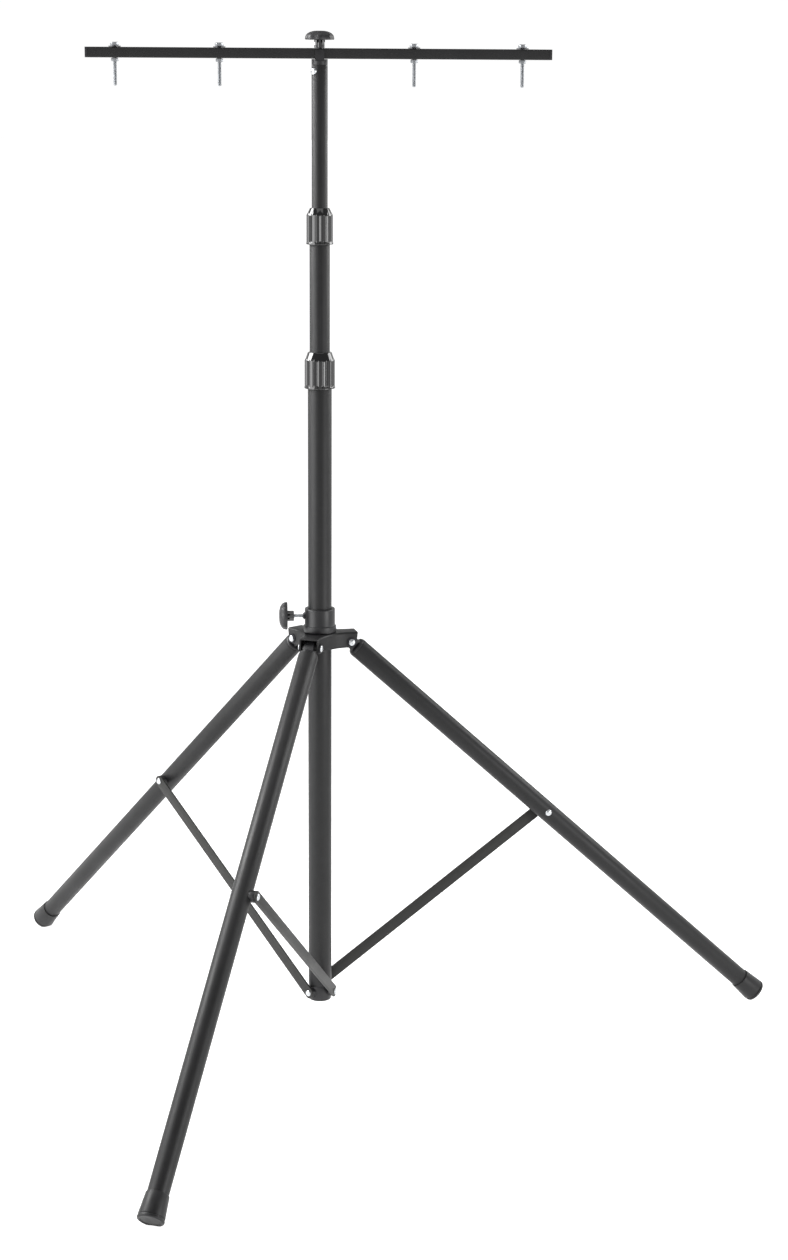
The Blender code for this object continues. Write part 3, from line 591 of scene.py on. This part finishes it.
def folded_wall(name):
    """One of three walls: from the end of the arm along +X round the hollow to the next arm."""
    clear()
    middle = Vector((ARM_LENGTH, ARM_HALF - FOLD, SPIDER_TOP - FOLD))
    bpy.ops.mesh.primitive_circle_add(
        vertices=24, radius=FOLD, location=middle, rotation=(0, math.radians(90), 0))
    wall = begin(name)
    pick(wall, "VERT", lambda p: p.y < middle.y - TINY or p.z < middle.z - TINY)
    bpy.ops.mesh.delete(type="VERT")
    pick(wall, "VERT", lambda p: p.z < middle.z + TINY)
    for step in WALL_STEPS:
        extrude(z=-step * MM)
    bpy.ops.mesh.select_all(action="SELECT")
    straight = ARM_LENGTH - HOLLOW_AT.x
    for _ in range(3):
        extrude(-straight / 3)
    bpy.ops.mesh.spin(steps=20, angle=math.radians(60), center=HOLLOW_AT, axis=(0, 0, 1))
    for _ in range(3):
        extrude(*(outward(math.radians(120)) * straight / 3))
    bpy.ops.object.mode_set(mode="OBJECT")
    return wall


spider = folded_wall("stamped_spider")
ARMS = [math.radians(120 * arm) for arm in range(3)]
merge(spider, *[twin(spider, "wall", Matrix.Rotation(arm, 4, "Z")) for arm in ARMS[1:]])
lowest = min(point.co.z for point in spider.data.vertices)
print("folded walls:", len(spider.data.polygons), "faces, lowest at", round(lowest, 4))

# %% [markdown]
# The stamping's walls end in round ears about the pivots, and here their corners are still
# square. The ears could be cut with a Boolean, but the walls are thin sheets as yet, and a
# sheet is cut cleanly by bisect: seven flat cuts round each pivot take the corners off.
# Solidify then gives the sheet its 2.5 mm.

# %% Top, ears and thickness of the spider
COLUMN_HOLE_R = 22.3 * MM
EAR_R = 8.5 * MM
EARS_FROM = 44 * MM


def on_top(point):
    return point.z > SPIDER_TOP - TINY


bpy.context.view_layer.objects.active = spider
bpy.ops.object.mode_set(mode="EDIT")
for along in map(outward, ARMS):
    pick(spider, "VERT", lambda p: on_top(p) and p.dot(along) > ARM_LENGTH - 0.1 * MM)
    bpy.ops.mesh.edge_face_add()
bpy.ops.mesh.select_all(action="DESELECT")
bpy.ops.object.mode_set(mode="OBJECT")
clear()
bpy.ops.mesh.primitive_circle_add(
    vertices=72, radius=COLUMN_HOLE_R, location=(0, 0, SPIDER_TOP))
hole = bpy.context.object
bpy.ops.object.transform_apply(location=True)
merge(spider, hole)
bpy.ops.object.mode_set(mode="EDIT")
pick(spider, "EDGE", on_top)
bpy.ops.mesh.fill()
for along in map(outward, ARMS):
    ear = along * PIVOT_OUT + Vector((0, 0, PIVOT_UP))
    for degrees in (-78, -66, -54, -42, -30, -18, -7):
        slope = math.radians(degrees)
        away = along * math.cos(slope) + Vector((0, 0, math.sin(slope)))
        pick(spider, "FACE", lambda p: p.dot(along) > EARS_FROM)
        bpy.ops.mesh.bisect(plane_co=ear + away * EAR_R, plane_no=away, clear_outer=True)
bpy.ops.mesh.select_all(action="SELECT")
bpy.ops.mesh.remove_doubles(threshold=TINY)
face_outwards()
eased(walled(spider, 2.5 * MM, even=True), 0.35 * MM, angle=50)
spider.data.transform(Matrix.Rotation(LEG_ANGLES[0], 4, "Z"))
fit(spider, "hub", COAT, "hub_spider")

# %% [markdown]
# The sleeve guides the hub on the column and reaches down through the spider to the lower
# edge of its arms. It is a satin moulding, turned like the grips, with a rounded top edge
# and a collar where it meets the sheet. Both throw the thin bright lines that the eye reads
# as its shape. A small steel bush in its side takes the thread of the clamping knob.

# %% Hub sleeve and its thread bush
sleeve = turned("hub_guide_sleeve", mm(
    (19.3, 663.9), (22.8, 663.9), (23.6, 663.6), (24.2, 662.9), (24.4, 661.9), (24.4, 636.6),
    (24.7, 636), (25.7, 635.7), (26.3, 635.1), (26.5, 634.1), (26.5, 627.6), (26.2, 626.1),
    (25.4, 624.8), (22, 624.8), (22, 621.7), (25, 621.7), (25, 602.2), (24.2, 601), (19.3, 601),
), 96, ring=True)
fit(eased(sleeve, 0.3 * MM, angle=40), "hub", PLUG_NYLON, "hub_sleeve")

HUB_KNOB_AT = seat((-52.3 * MM, 0, 651 * MM), (-1, 0, 0), (0, 0, 1))
bush = turned("hub_thread_bush", mm(
    (3.3, -24.9), (4, -24.9), (4.6, -25.7), (5.8, -27.3), (5.8, -28), (4.4, -28),
    (4.4, -32.2), (3.3, -32.2),
), 32, ring=True)
bush.data.transform(HUB_KNOB_AT)
fit(eased(bush, 0.15 * MM), "hub", BLACK_STEEL, "hub_thread_insert")

# %% [markdown]
# ## Rivets, washers and spacers
# A rivet head is a low dome that a punch has set, which leaves a small dimple in its top.
# Half a sphere would be too tall and have no dimple, so its outline is given ring by ring
# and turned. The legs turn on long rivets through both ears of an arm, with a dark washer
# under each head. Short ones carry the struts.

# %% Rivets and washers of the hub
SHANK_R = 3 * MM
WASHER_THICK = 1.2 * MM
HEAD_AT = ARM_HALF + GAP + WASHER_THICK + GAP
DOME = ((5.1, 0), (5.4, 0.3), (5.2, 0.9), (4.5, 1.6), (3.3, 2.2), (2, 2.5), (1.3, 2.6),
        (1, 2.4), (0.5, 2.2))


def dome(seat_at, way):
    """Rings of a rivet head from its rim to the dimple in its crown."""
    return [(radius * MM, seat_at + way * height * MM) for radius, height in DOME]


both_heads = dome(HEAD_AT, 1)[::-1] + [(SHANK_R, HEAD_AT), (SHANK_R, -HEAD_AT)] + dome(-HEAD_AT, -1)
pivot_rivet = turned("pivot_rivet", both_heads, 32)
washer = eased(turned("pivot_washer", mm(
    (3.3, 16.3), (7.8, 16.3), (7.8, 17.5), (3.3, 17.5)), 40, ring=True), 0.25 * MM)
for leg, angle in enumerate(LEG_ANGLES, 1):
    pivot = outward(angle) * PIVOT_OUT + Vector((0, 0, PIVOT_UP))
    for side, letter in ((1, "a"), (-1, "b")):
        place = seat(pivot, sideways(angle) * side, (0, 0, 1))
        fit(twin(washer, f"pivot_washer_{leg}{letter}", place), "hub", BLACK_STEEL)
    place = seat(pivot, sideways(angle), (0, 0, 1))
    fit(twin(pivot_rivet, f"pivot_rivet_{leg}", place), "hub", ZINC, f"hub_rivet_{leg}")
drop(pivot_rivet, washer)

# %% [markdown]
# ## Struts
# A strut is flat bar, 19 by 3 mm, with round ends. A box with bevelled ends would do, but a
# circle gives both ends exactly: the half of its points that looks along the bar is slid to
# the far end, and the outline is extruded to the bar's thickness. Its two rivets and the
# spacer that holds it off the leg are made in the same place and go with it.

# %% Flat bar of the struts
STRUT_HALF = 9.5 * MM
STRUT_INNER = 23 * MM
STRUT_THICK = 3 * MM
rivet_out = outward(0) * (PIVOT_OUT + RIVET_DOWN_LEG * math.sin(LEG_SPREAD))
rivet_out.z = PIVOT_UP - RIVET_DOWN_LEG * math.cos(LEG_SPREAD)
strut_length = (rivet_out - Vector((0, 0, STRUT_END_UP))).length

clear()
bpy.ops.mesh.primitive_circle_add(
    vertices=48, radius=STRUT_HALF, fill_type="NGON", location=(0, 0, STRUT_INNER),
    rotation=(0, 0, math.radians(360 / 48 / 2)))
strut = begin("flat_strut")
pick(strut, "VERT", lambda p: p.x > 0)
bpy.ops.transform.translate(value=(strut_length, 0, 0))
bpy.ops.mesh.select_all(action="SELECT")
extrude(z=STRUT_THICK)
face_outwards()
eased(strut, 0.5 * MM)
print("strut between its rivets:", round(strut_length / MM, 1), "mm")

# %% Rivets and spacers of the struts, and all of them in place
LEG_FAR_FACE = -15.1 * MM
strut_face = STRUT_INNER + STRUT_THICK + GAP
near_head = dome(strut_face, 1)[::-1] + [(SHANK_R, strut_face)]
end_rivet = turned("strut_end_rivet", near_head + [(SHANK_R, STRUT_INNER)], 32)
leg_rivet = turned(
    "strut_leg_rivet", near_head + [(SHANK_R, LEG_FAR_FACE)] + dome(LEG_FAR_FACE, -1), 32)
spacer = eased(turned("strut_spacer", mm(
    (3.3, 13), (9.2, 13), (9.2, 22.7), (3.3, 22.7)), 40, ring=True), 0.5 * MM)
for leg, angle in enumerate(LEG_ANGLES, 1):
    at_rivet = outward(angle) * rivet_out.x + Vector((0, 0, rivet_out.z))
    down = Vector((0, 0, STRUT_END_UP)) - at_rivet
    place = seat(at_rivet, sideways(angle), down)
    far_end = seat(at_rivet + down, sideways(angle), down)
    bar_body, leg_body = f"strut_{leg}", f"leg_{leg}"
    fit(twin(strut, f"flat_strut_{leg}", place), bar_body, STRUT_COAT_PAINTED_LIGHT, f"strut_{leg}")
    fit(twin(end_rivet, f"strut_end_rivet_{leg}", far_end),
        bar_body, ZINC, f"strut_{leg}_lower_rivet")
    fit(twin(leg_rivet, f"strut_leg_rivet_{leg}", place),
        leg_body, ZINC, f"strut_{leg}_leg_rivet")
    fit(twin(spacer, f"strut_spacer_ring_{leg}", place),
        leg_body, PLUG_NYLON, f"strut_{leg}_spacer")
drop(strut, end_rivet, leg_rivet, spacer)

# %% [markdown]
# ## Leg tops
# A moulded plug closes each leg's top and carries a tongue that turns in the spider's arm.
# The tongue could be a disc and a block joined with a Boolean. It is drawn in one go: the
# upper half of a circle is flattened and pulled to the plug, the outline is extruded
# sideways, and its two ends are scaled, because a moulding has draft.

# %% Leg top plugs with their tongues
TONGUE_R = 10 * MM
TONGUE_WIDTH = 16 * MM
TONGUE_REACH = 14.5 * MM

plug = eased(turned("leg_top_plug", mm(
    (12, 44), (14.2, 42), (14.2, 17.2), (15.6, 17.2), (15.4, 15.7), (14.4, 13.9),
    (12.6, 12.4), (9.8, 11.4),
), 64), 0.3 * MM, angle=40)
clear()
bpy.ops.mesh.primitive_circle_add(
    vertices=40, radius=TONGUE_R, fill_type="NGON", location=(0, 0, -TONGUE_WIDTH / 2))
tongue = begin("leg_tongue")
pick(tongue, "VERT", lambda p: p.y > -TINY)
scale(1, 0, 1)
pick(tongue, "VERT", lambda p: p.y > -TINY)
bpy.ops.transform.translate(value=(0, TONGUE_REACH, 0))
bpy.ops.mesh.remove_doubles(threshold=TINY / 10)
bpy.ops.mesh.select_all(action="SELECT")
extrude(z=TONGUE_WIDTH)
pick(tongue, "VERT", lambda p: p.y > TONGUE_R)
scale(1, 1, 1.1)
pick(tongue, "VERT", lambda p: p.y < 0)
scale(1, 1, 0.95)
face_outwards()
eased(tongue, 0.9 * MM, 3)
tongue.data.transform(Matrix.Rotation(math.radians(90), 4, "X"))
boss = eased(turned("leg_tongue_boss", mm((5.4, -13.2), (5.4, 13.2)), 32), 0.5 * MM)
boss.data.transform(seat((0, 0, 0), (0, 1, 0), (1, 0, 0)))
on_each_leg(plug, PLUG_NYLON, "leg_{}_top_plug")
on_each_leg(tongue, PLUG_NYLON)
on_each_leg(boss, PLUG_NYLON)

# %% [markdown]
# ## Feet
# A foot is a rubber cap that widens towards the floor, with a groove above its tread and a
# shallow hollow in its sole. The real ones sag flat where they stand. Shaping that by hand
# would bend the whole cap, so the part that would lie below the floor is cut off instead.

# %% Rubber feet
FOOT_RINGS = (
    (16.3, 5.7), (16.3, 39.6), (16.6, 40), (17, 40), (17.4, 39.5), (19.8, 7.4), (19.6, 6.5),
    (18.9, 5.9), (18.7, 5.2), (19, 4.6), (19.9, 4.1), (20.1, 3.2), (20, 1.8), (19.4, 0.7),
    (18.4, 0.1), (16.2, 0), (15.5, 0.3), (15.1, 1), (12.4, 1.1),
)
foot = turned(
    "rubber_foot", [(radius * MM, LEG_LENGTH - above * MM) for radius, above in FOOT_RINGS], 72)
for leg, place in enumerate(LEG_SEATS, 1):
    piece = twin(foot, f"rubber_foot_{leg}", place)
    clear()
    bpy.context.view_layer.objects.active = piece
    bpy.ops.object.mode_set(mode="EDIT")
    bpy.ops.mesh.select_all(action="SELECT")
    bpy.ops.mesh.bisect(
        plane_co=(0, 0, FLOOR_UP), plane_no=(0, 0, -1), clear_outer=True, use_fill=True)
    bpy.ops.object.mode_set(mode="OBJECT")
    fit(piece, f"leg_{leg}", RUBBER, f"leg_{leg}_foot")
drop(foot)

# %% [markdown]
# ## Foot of the column
# The plug under the column carries three round pads, one beside each strut's end. All four
# would be one moulding. A Boolean could make them one mesh, but they meet inside the plug,
# where nobody sees it, so they stay simple turned pieces.

# %% Column plug and pads
plug = turned("column_foot_plug", mm(
    (14, 55), (17.2, 52), (17.2, 25), (18.5, 25), (18.5, 2.6), (18.2, 1.2), (17.4, 0.4),
    (16.2, 0), (12, 0), (11.4, 0.8), (4, 0.8),
), 72)
fit(eased(plug, 0.25 * MM, angle=40), "column", PLUG_NYLON, "bottom_plug")
pad = eased(turned("strut_pad", mm((8.5, 8), (8.5, 22.7)), 40), 0.6 * MM)
for leg, angle in enumerate(LEG_ANGLES, 1):
    place = seat((0, 0, STRUT_END_UP), sideways(angle), (0, 0, 1))
    fit(twin(pad, f"strut_pad_{leg}", place), "column", PLUG_NYLON)
drop(pad)

# %% [markdown]
# ## Knobs
# Both clamping knobs are the same moulding: a crowned disc with eight finger lobes on a
# short neck. Eight cylinders could cut the lobes, but would leave sharp lips between them.
# So they are pressed in like the grips' grooves, only wider and softer, along a cosine. The
# neck wears a glossy fluted collar, a piece of its own with its own finish.

# %% Lobed knobs
CROWN = mm(
    (0.4, 12.9), (4.4, 12.9), (5.2, 13.4), (8.5, 13.2), (12, 12.5), (15.5, 11.3), (18.4, 9.7),
    (20.5, 7.8), (21.8, 5.8), (22.4, 3.6), (22.6, 1.4), (22.4, 0.4), (21.6, 0), (19.2, 0),
    (18.4, 1.2), (10.4, 1.2), (9.6, 0), (7.2, 0),
)
LOBE_DEPTHS = [0.75 * MM * (1 - math.cos(math.pi * column / 6)) for column in range(7)]
FLUTE_DEPTHS = [0.2 * MM, 0.15 * MM, 0, 0.4 * MM, 0.7 * MM]


def lobed_knob(name, body, neck, place, solid):
    root = [(7.2 * MM, 0.4 * MM - neck), (6.8 * MM, -neck), (3.3 * MM, -neck)]
    knob = turned(name, CROWN + root, 96)
    press_in(knob, 96, LOBE_DEPTHS, 20.4 * MM, -1 * MM, 11 * MM)
    knob.data.transform(place)
    fit(knob, body, KNOB_NYLON, solid)
    collar = turned(name + "_collar", [
        (7.3 * MM, -0.1 * MM), (8.2 * MM, -0.1 * MM), (8.4 * MM, -0.4 * MM),
        (8.4 * MM, 0.6 * MM - neck), (8.1 * MM, 0.2 * MM - neck), (7.3 * MM, 0.2 * MM - neck),
    ], 64, ring=True)
    press_in(collar, 64, FLUTE_DEPTHS, 8.4 * MM, -neck, 0)
    collar.data.transform(place)
    fit(collar, body, GRIP_NYLON)


TOP_KNOB_AT = seat((0, 0, 1556.2 * MM), (0, 0, 1), (1, 0, 0))
lobed_knob("column_clamp_knob", "hub_knob", 10.5 * MM, HUB_KNOB_AT, "hub_knob")
lobed_knob("bar_clamp_knob", "top_knob", 12.4 * MM, TOP_KNOB_AT, "top_knob")

# %% [markdown]
# ## Threads
# A bump texture could fake a thread, but it would not show at the rod's edge, which is where
# the eye looks for it. Threads are real here: one tooth is drawn as a triangle and the Screw
# modifier winds it round a core.

# %% Threaded rods
PITCH = 1 * MM


def threaded(name, low, high, turns_from):
    """An M6 rod along Z with its thread from a height down to the lower end."""
    core = turned(name, [
        (1.7 * MM, low), (2.45 * MM, low + 0.8 * MM), (2.45 * MM, turns_from - 0.3 * MM),
        (2.95 * MM, turns_from), (2.95 * MM, high),
    ], 24)
    tooth = 0.5 * PITCH
    upright = Matrix.Rotation(math.radians(90), 3, "X") @ Matrix.Rotation(math.radians(-90), 3, "Z")
    clear()
    bpy.ops.mesh.primitive_circle_add(
        vertices=3, radius=tooth, location=(3 * MM - tooth, 0, low + 1.2 * MM),
        rotation=upright.to_euler())
    ridge = bpy.context.object
    bpy.ops.object.transform_apply(location=True, rotation=True)
    wind = ridge.modifiers.new("wind", "SCREW")
    wind.steps = wind.render_steps = 24
    wind.screw_offset = PITCH
    wind.iterations = int((turns_from - low - 1.6 * MM) / PITCH)
    use(ridge, wind)
    bpy.ops.object.mode_set(mode="EDIT")
    close_up()
    merge(core, ridge)
    return core


rod = threaded("clamp_rod", -33 * MM, 4.7 * MM, -10 * MM)
rod.data.transform(HUB_KNOB_AT)
fit(rod, "hub_knob", ZINC, "hub_knob_stud")

# %% [markdown]
# ## Lamp bar
# The bar is square tube with rounded corners, closed by two caps. A cube is scaled to its
# length, and only its four long edges are bevelled, because the ends of sawn tube are sharp.
# The end faces are then deleted and Solidify makes the wall.

# %% Square bar and its caps
BAR_SIZE = 16 * MM
BAR_LENGTH = 709.4 * MM
BAR_BOTTOM = 1527.5 * MM
CAP_THICK = 4.5 * MM
CAP_MIDDLE = 357.25 * MM


def square_length(name, middle, length):
    """Square stock along X, its four long edges rounded, open for editing."""
    piece = block(name, (middle, 0, BAR_BOTTOM + BAR_SIZE / 2), (length, BAR_SIZE, BAR_SIZE))
    pick(piece, "EDGE", lambda p: abs(p.x - middle) < 0.1 * length)
    bpy.ops.mesh.bevel(offset=1.6 * MM, segments=5, affect="EDGES")
    return piece


bar = square_length("square_lamp_bar", 0, BAR_LENGTH)
pick(bar, "FACE", lambda p: abs(p.x) > BAR_LENGTH / 2 - 0.1 * MM)
bpy.ops.mesh.delete(type="FACE")
bpy.ops.object.mode_set(mode="OBJECT")
fit(walled(bar, TUBE_WALL), "top_tube", COAT, "lamp_bar")

for name, side in (("left", -1), ("right", 1)):
    cap = square_length(f"bar_end_cap_{name}", side * CAP_MIDDLE, CAP_THICK)
    pick(cap, "FACE", lambda p: side * p.x > CAP_MIDDLE + 0.4 * CAP_THICK)
    bpy.ops.mesh.inset(thickness=0.8 * MM)
    bpy.ops.transform.translate(value=(side * -0.2 * MM, 0, 0))
    bpy.ops.object.mode_set(mode="OBJECT")
    fit(eased(cap, 0.25 * MM, angle=50), "top_tube", PLUG_NYLON, f"bar_cap_{name}")

# %% [markdown]
# The bar lies in the slot of a saddle that plugs the upper tube. The saddle is turned first.
# Its slot could be modelled into the outline, but the piece would no longer be round to
# start with, so blocks cut the slot and leave one flat cheek in front of the bar and one
# behind it. A bright screw with a cross recess holds the saddle in the tube.

# %% Saddle and its cross screw
saddle = turned("bar_saddle_plug", mm(
    (10, 1488), (10.7, 1489), (10.7, 1518.3), (12.5, 1518.3), (12.5, 1540), (11.5, 1541)), 72)


def cut_saddle(middle, size):
    cutter = block("saddle_cut", [MM * value for value in middle], [MM * value for value in size])
    bpy.ops.object.mode_set(mode="OBJECT")
    carved(saddle, cutter)


cut_saddle((0, 0, 1547.2), (60, 16.6, 40))
for side in (-1, 1):
    cut_saddle((0, side * 20.4, 1544), (60, 20, 40))
    cut_saddle((side * 17, 0, 1547), (20, 60, 40))
fit(eased(saddle, 0.35 * MM, angle=40), "top_tube", PLUG_NYLON, "bar_saddle", smooth=20)

screw = turned("saddle_cross_screw", mm(
    (0.6, 15.9), (2.2, 15.8), (3.8, 15.4), (5, 14.6), (5.7, 13.5), (5.8, 12.6), (5.8, 11),
    (2.4, 11), (2.4, 5), (1.8, 4.6),
), 40)
for turn in (0, 90):
    blade = block(f"cross_{turn}", (0, 0, 16 * MM), (5.6 * MM, 1.1 * MM, 4 * MM), turn)
    pick(blade, "VERT", lambda p: p.z < 15 * MM)
    scale(0.45, 0.45, 1)
    bpy.ops.object.mode_set(mode="OBJECT")
    carved(screw, blade)
SCREW_AT = seat((0, 0, 1509 * MM), outward(math.radians(220)), (0, 0, 1))
screw.data.transform(SCREW_AT)
fit(screw, "top_tube", ZINC, "saddle_screw")

# %% [markdown]
# A lamp bolt has a chamfered hexagon head over a dark washer, a nut under the bar and a
# long thread that hangs free for the lamp. Bevelling a hexagon would give straight chamfers.
# Real ones are turned, so a six-sided prism is cut to its overlap with a coned disc, which
# leaves their curved chamfers.

# %% Lamp bolts, nuts and washers
BOLTS_ALONG = (-314, -154, 146, 314)
HEXAGON_TURN = math.radians(26)
bar_top = BAR_BOTTOM + BAR_SIZE
head_low = bar_top + 2 * GAP + 1.4 * MM
head_high = head_low + 5.5 * MM
nut_high = BAR_BOTTOM - GAP
nut_low = nut_high - 5.4 * MM
bolt_end = BAR_BOTTOM - 42 * MM


def hexagon(name, flats, blank_rings, low, high, ring=False):
    blank = turned("hexagon_blank", blank_rings, 48, ring)
    clear()
    bpy.ops.mesh.primitive_cylinder_add(
        vertices=6, radius=flats / math.sqrt(3), depth=high - low,
        location=(0, 0, (low + high) / 2), rotation=(0, 0, HEXAGON_TURN))
    piece = begin(name)
    bpy.ops.object.mode_set(mode="OBJECT")
    carved(piece, blank, "INTERSECT")
    return eased(piece, 0.2 * MM, angle=28)


head = hexagon("bolt_head", 12 * MM, [
    (7.2 * MM, head_low), (7.2 * MM, head_high - 1.6 * MM), (5.4 * MM, head_high - 0.1 * MM),
    (4.8 * MM, head_high), (1 * MM, head_high),
], head_low, head_high)
nut = hexagon("lamp_nut", 10 * MM, [
    (3.3 * MM, nut_low), (4.7 * MM, nut_low), (6 * MM, nut_low + 1.3 * MM),
    (6 * MM, nut_high - 1.3 * MM), (4.7 * MM, nut_high), (3.3 * MM, nut_high),
], nut_low, nut_high, ring=True)
bolt = threaded("lamp_bolt", bolt_end, head_low + 1 * MM, nut_high + 4 * MM)
merge(bolt, head)
washer_low, washer_high = bar_top + GAP, bar_top + 1.7 * MM
washer = eased(turned("lamp_washer", [
    (3.3 * MM, washer_low), (9.5 * MM, washer_low), (9.5 * MM, washer_high),
    (3.3 * MM, washer_high),
], 48, ring=True), 0.3 * MM)
for number, along in enumerate(BOLTS_ALONG, 1):
    place = Matrix.Translation((along * MM, 0, 0))
    for pattern, name, finish, solid in (
        (bolt, "hanging_bolt", DULL_ZINC, "lamp_bolt"),
        (nut, "hexagon_nut", DULL_ZINC, "lamp_nut"),
        (washer, "bar_washer", BLACK_STEEL, "lamp_washer"),
    ):
        fit(twin(pattern, f"{name}_{number}", place), "top_tube", finish, f"{solid}_{number}")
drop(bolt, nut, washer)

# %% [markdown]
# ## What stays hidden
# Inside the grips and tubes the plain solids are right as they are: threaded lock bases,
# split collets, guide bushes and the upper knob's rod. They only need their finishes.

# %% Finishes for the inner parts
for name in ("lower_lock_base", "lower_lock_collet", "upper_lock_base", "upper_lock_collet",
             "mid_tube_guide", "top_tube_guide", "top_knob_stud"):
    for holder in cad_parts[name].material_slots:
        holder.material = ZINC if name.endswith("stud") else PLUG_NYLON
shown = [piece.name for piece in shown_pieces() if piece.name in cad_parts]
print("solids still shown:", shown)

# %% [markdown]
# ## Camera
# The camera looks down on the stand by 12 degrees with a long lens, which keeps the tubes
# nearly parallel. It could be aimed with a Track To constraint, but its small roll and the
# exact framing come from measured angles, so its matrix is built from them.

# %% Camera
CAMERA_AT = (-0.1404, -4.0518, 1.5052)
pan, tilt, roll = (math.radians(degrees) for degrees in (3.676, 12.215, 0.331))
camera_data = bpy.data.cameras.new("camera")
camera_data.sensor_fit = "VERTICAL"
camera_data.sensor_height = 36
camera_data.sensor_width = 36
camera_data.lens = 73.38
camera_data.clip_end = 200
camera = bpy.data.objects.new("camera", camera_data)
bpy.context.scene.collection.objects.link(camera)
ahead = Vector((math.sin(pan) * math.cos(tilt), math.cos(pan) * math.cos(tilt), -math.sin(tilt)))
right = ahead.cross(Vector((0, 0, 1))).normalized()
aim = Matrix((right, right.cross(ahead), -ahead)).transposed().to_4x4()
camera.matrix_world = Matrix.Translation(CAMERA_AT) @ aim @ Matrix.Rotation(roll, 4, "Z")
bpy.context.scene.camera = camera
print("camera stands", round(Vector(CAMERA_AT).length, 2), "m from the column's foot")

# %% [markdown]
# ## Studio
# The stand is shown on a plain pale floor that runs into a pale backdrop. Lamps bright
# enough to make both white would wash out the black tubes, so the paper glows a little by
# itself. The glow falls off on the camera's side, because a glossy tube mirrors the floor in
# front of it, and that is what keeps its middle dark.

# %% Floor and backdrop
def glowing(name, dim_at, full_at, dim, full):
    """A finish that glows less towards the camera's side, between two distances along Y."""
    material, tree, shader, place = blank_finish(name, Roughness=0.9)
    shader.inputs["Emission Color"].default_value = linear("#ffffff")
    depth = node(tree, "ShaderNodeSeparateXYZ", {"Vector": place}).outputs["Y"]
    strength = spread(tree, depth, dim, full, dim_at, full_at)
    tree.links.new(strength, shader.inputs["Emission Strength"])
    return material, tree, shader, place


def stage_circle(name, radius, height, fill):
    """A wide circle of the studio, open for editing."""
    clear()
    bpy.ops.mesh.primitive_circle_add(
        vertices=96, radius=radius, fill_type=fill, location=(0, 0, height))
    return begin(name)


def lay(stage, finish):
    """Leave edit mode and make the shape a part of the studio, with its finish."""
    bpy.ops.object.mode_set(mode="OBJECT")
    stage.data.materials.append(finish)
    print(f"{stage.name}: {len(stage.data.polygons)} faces")


paper, tree, shader, place = glowing("lit_paper", -3.6, -1.3, 0.58, 0.9)
mottle = spread(tree, grain(tree, place, 400 * MM), 0, 1)
pale = blend_colours(tree, mottle, linear("#b4b4b4"), linear("#b7b7b7"))
tree.links.new(pale, shader.inputs["Base Color"])
floor = stage_circle("floor", 60, FLOOR_UP - 0.1 * MM, "NGON")
bpy.ops.mesh.inset(thickness=40)
lay(floor, paper)

glow, tree, shader, place = glowing("lit_backdrop", -20, 20, 0.76, 0.99)
haze = blend_colours(tree, grain(tree, place, 20), linear("#1e1e1e"), linear("#202020"))
tree.links.new(haze, shader.inputs["Base Color"])
backdrop = stage_circle("backdrop", 59, FLOOR_UP - 1, "NOTHING")
extrude(z=25)
lay(backdrop, glow)

# %% [markdown]
# A glossy cylinder is lit by what it mirrors, so each lamp is placed where a tube would
# mirror it. One large soft light on the left makes the main streak down the column and a
# weaker one on the right lifts the other side, so a darker band stays between them. A high
# one at the back left draws the streak on the front leg, and its fellow on the right picks
# out the top edges. A weak one overhead lifts whatever faces up.

# %% Lights
def soft_light(name, place, size, power, target):
    data = bpy.data.lights.new(name, "AREA")
    data.shape = "RECTANGLE"
    data.size, data.size_y = size
    data.energy = power
    light = bpy.data.objects.new(name, data)
    bpy.context.scene.collection.objects.link(light)
    light.location = place
    light.rotation_euler = (Vector(target) - Vector(place)).to_track_quat("-Z", "Y").to_euler()
    print(f"{name}: {power} W")


soft_light("left_softbox", (-2.9, -1.2, 1.5), (2.8, 2.8), 95, (0, 0, 1.5))
soft_light("left_high_softbox", (-2.3, 0.5, 2.5), (1.6, 1.6), 125, (-0.2, -0.4, 0.3))
soft_light("right_softbox", (2.9, -2.4, 0.75), (1.6, 1.5), 44, (0, 0, 0.75))
soft_light("right_high_softbox", (3.0, 1.0, 2.3), (1.8, 1.8), 60, (0, 0, 0.8))
soft_light("overhead_softbox", (0, -0.3, 4.2), (3, 3), 30, (0, 0, 0))
world = bpy.data.worlds.new("studio")
world.use_nodes = True
sky = world.node_tree.nodes["Background"]
sky.inputs["Color"].default_value = linear("#ffffff")
sky.inputs["Strength"].default_value = 0.25
bpy.context.scene.world = world
bpy.context.scene.view_settings.view_transform = "Standard"
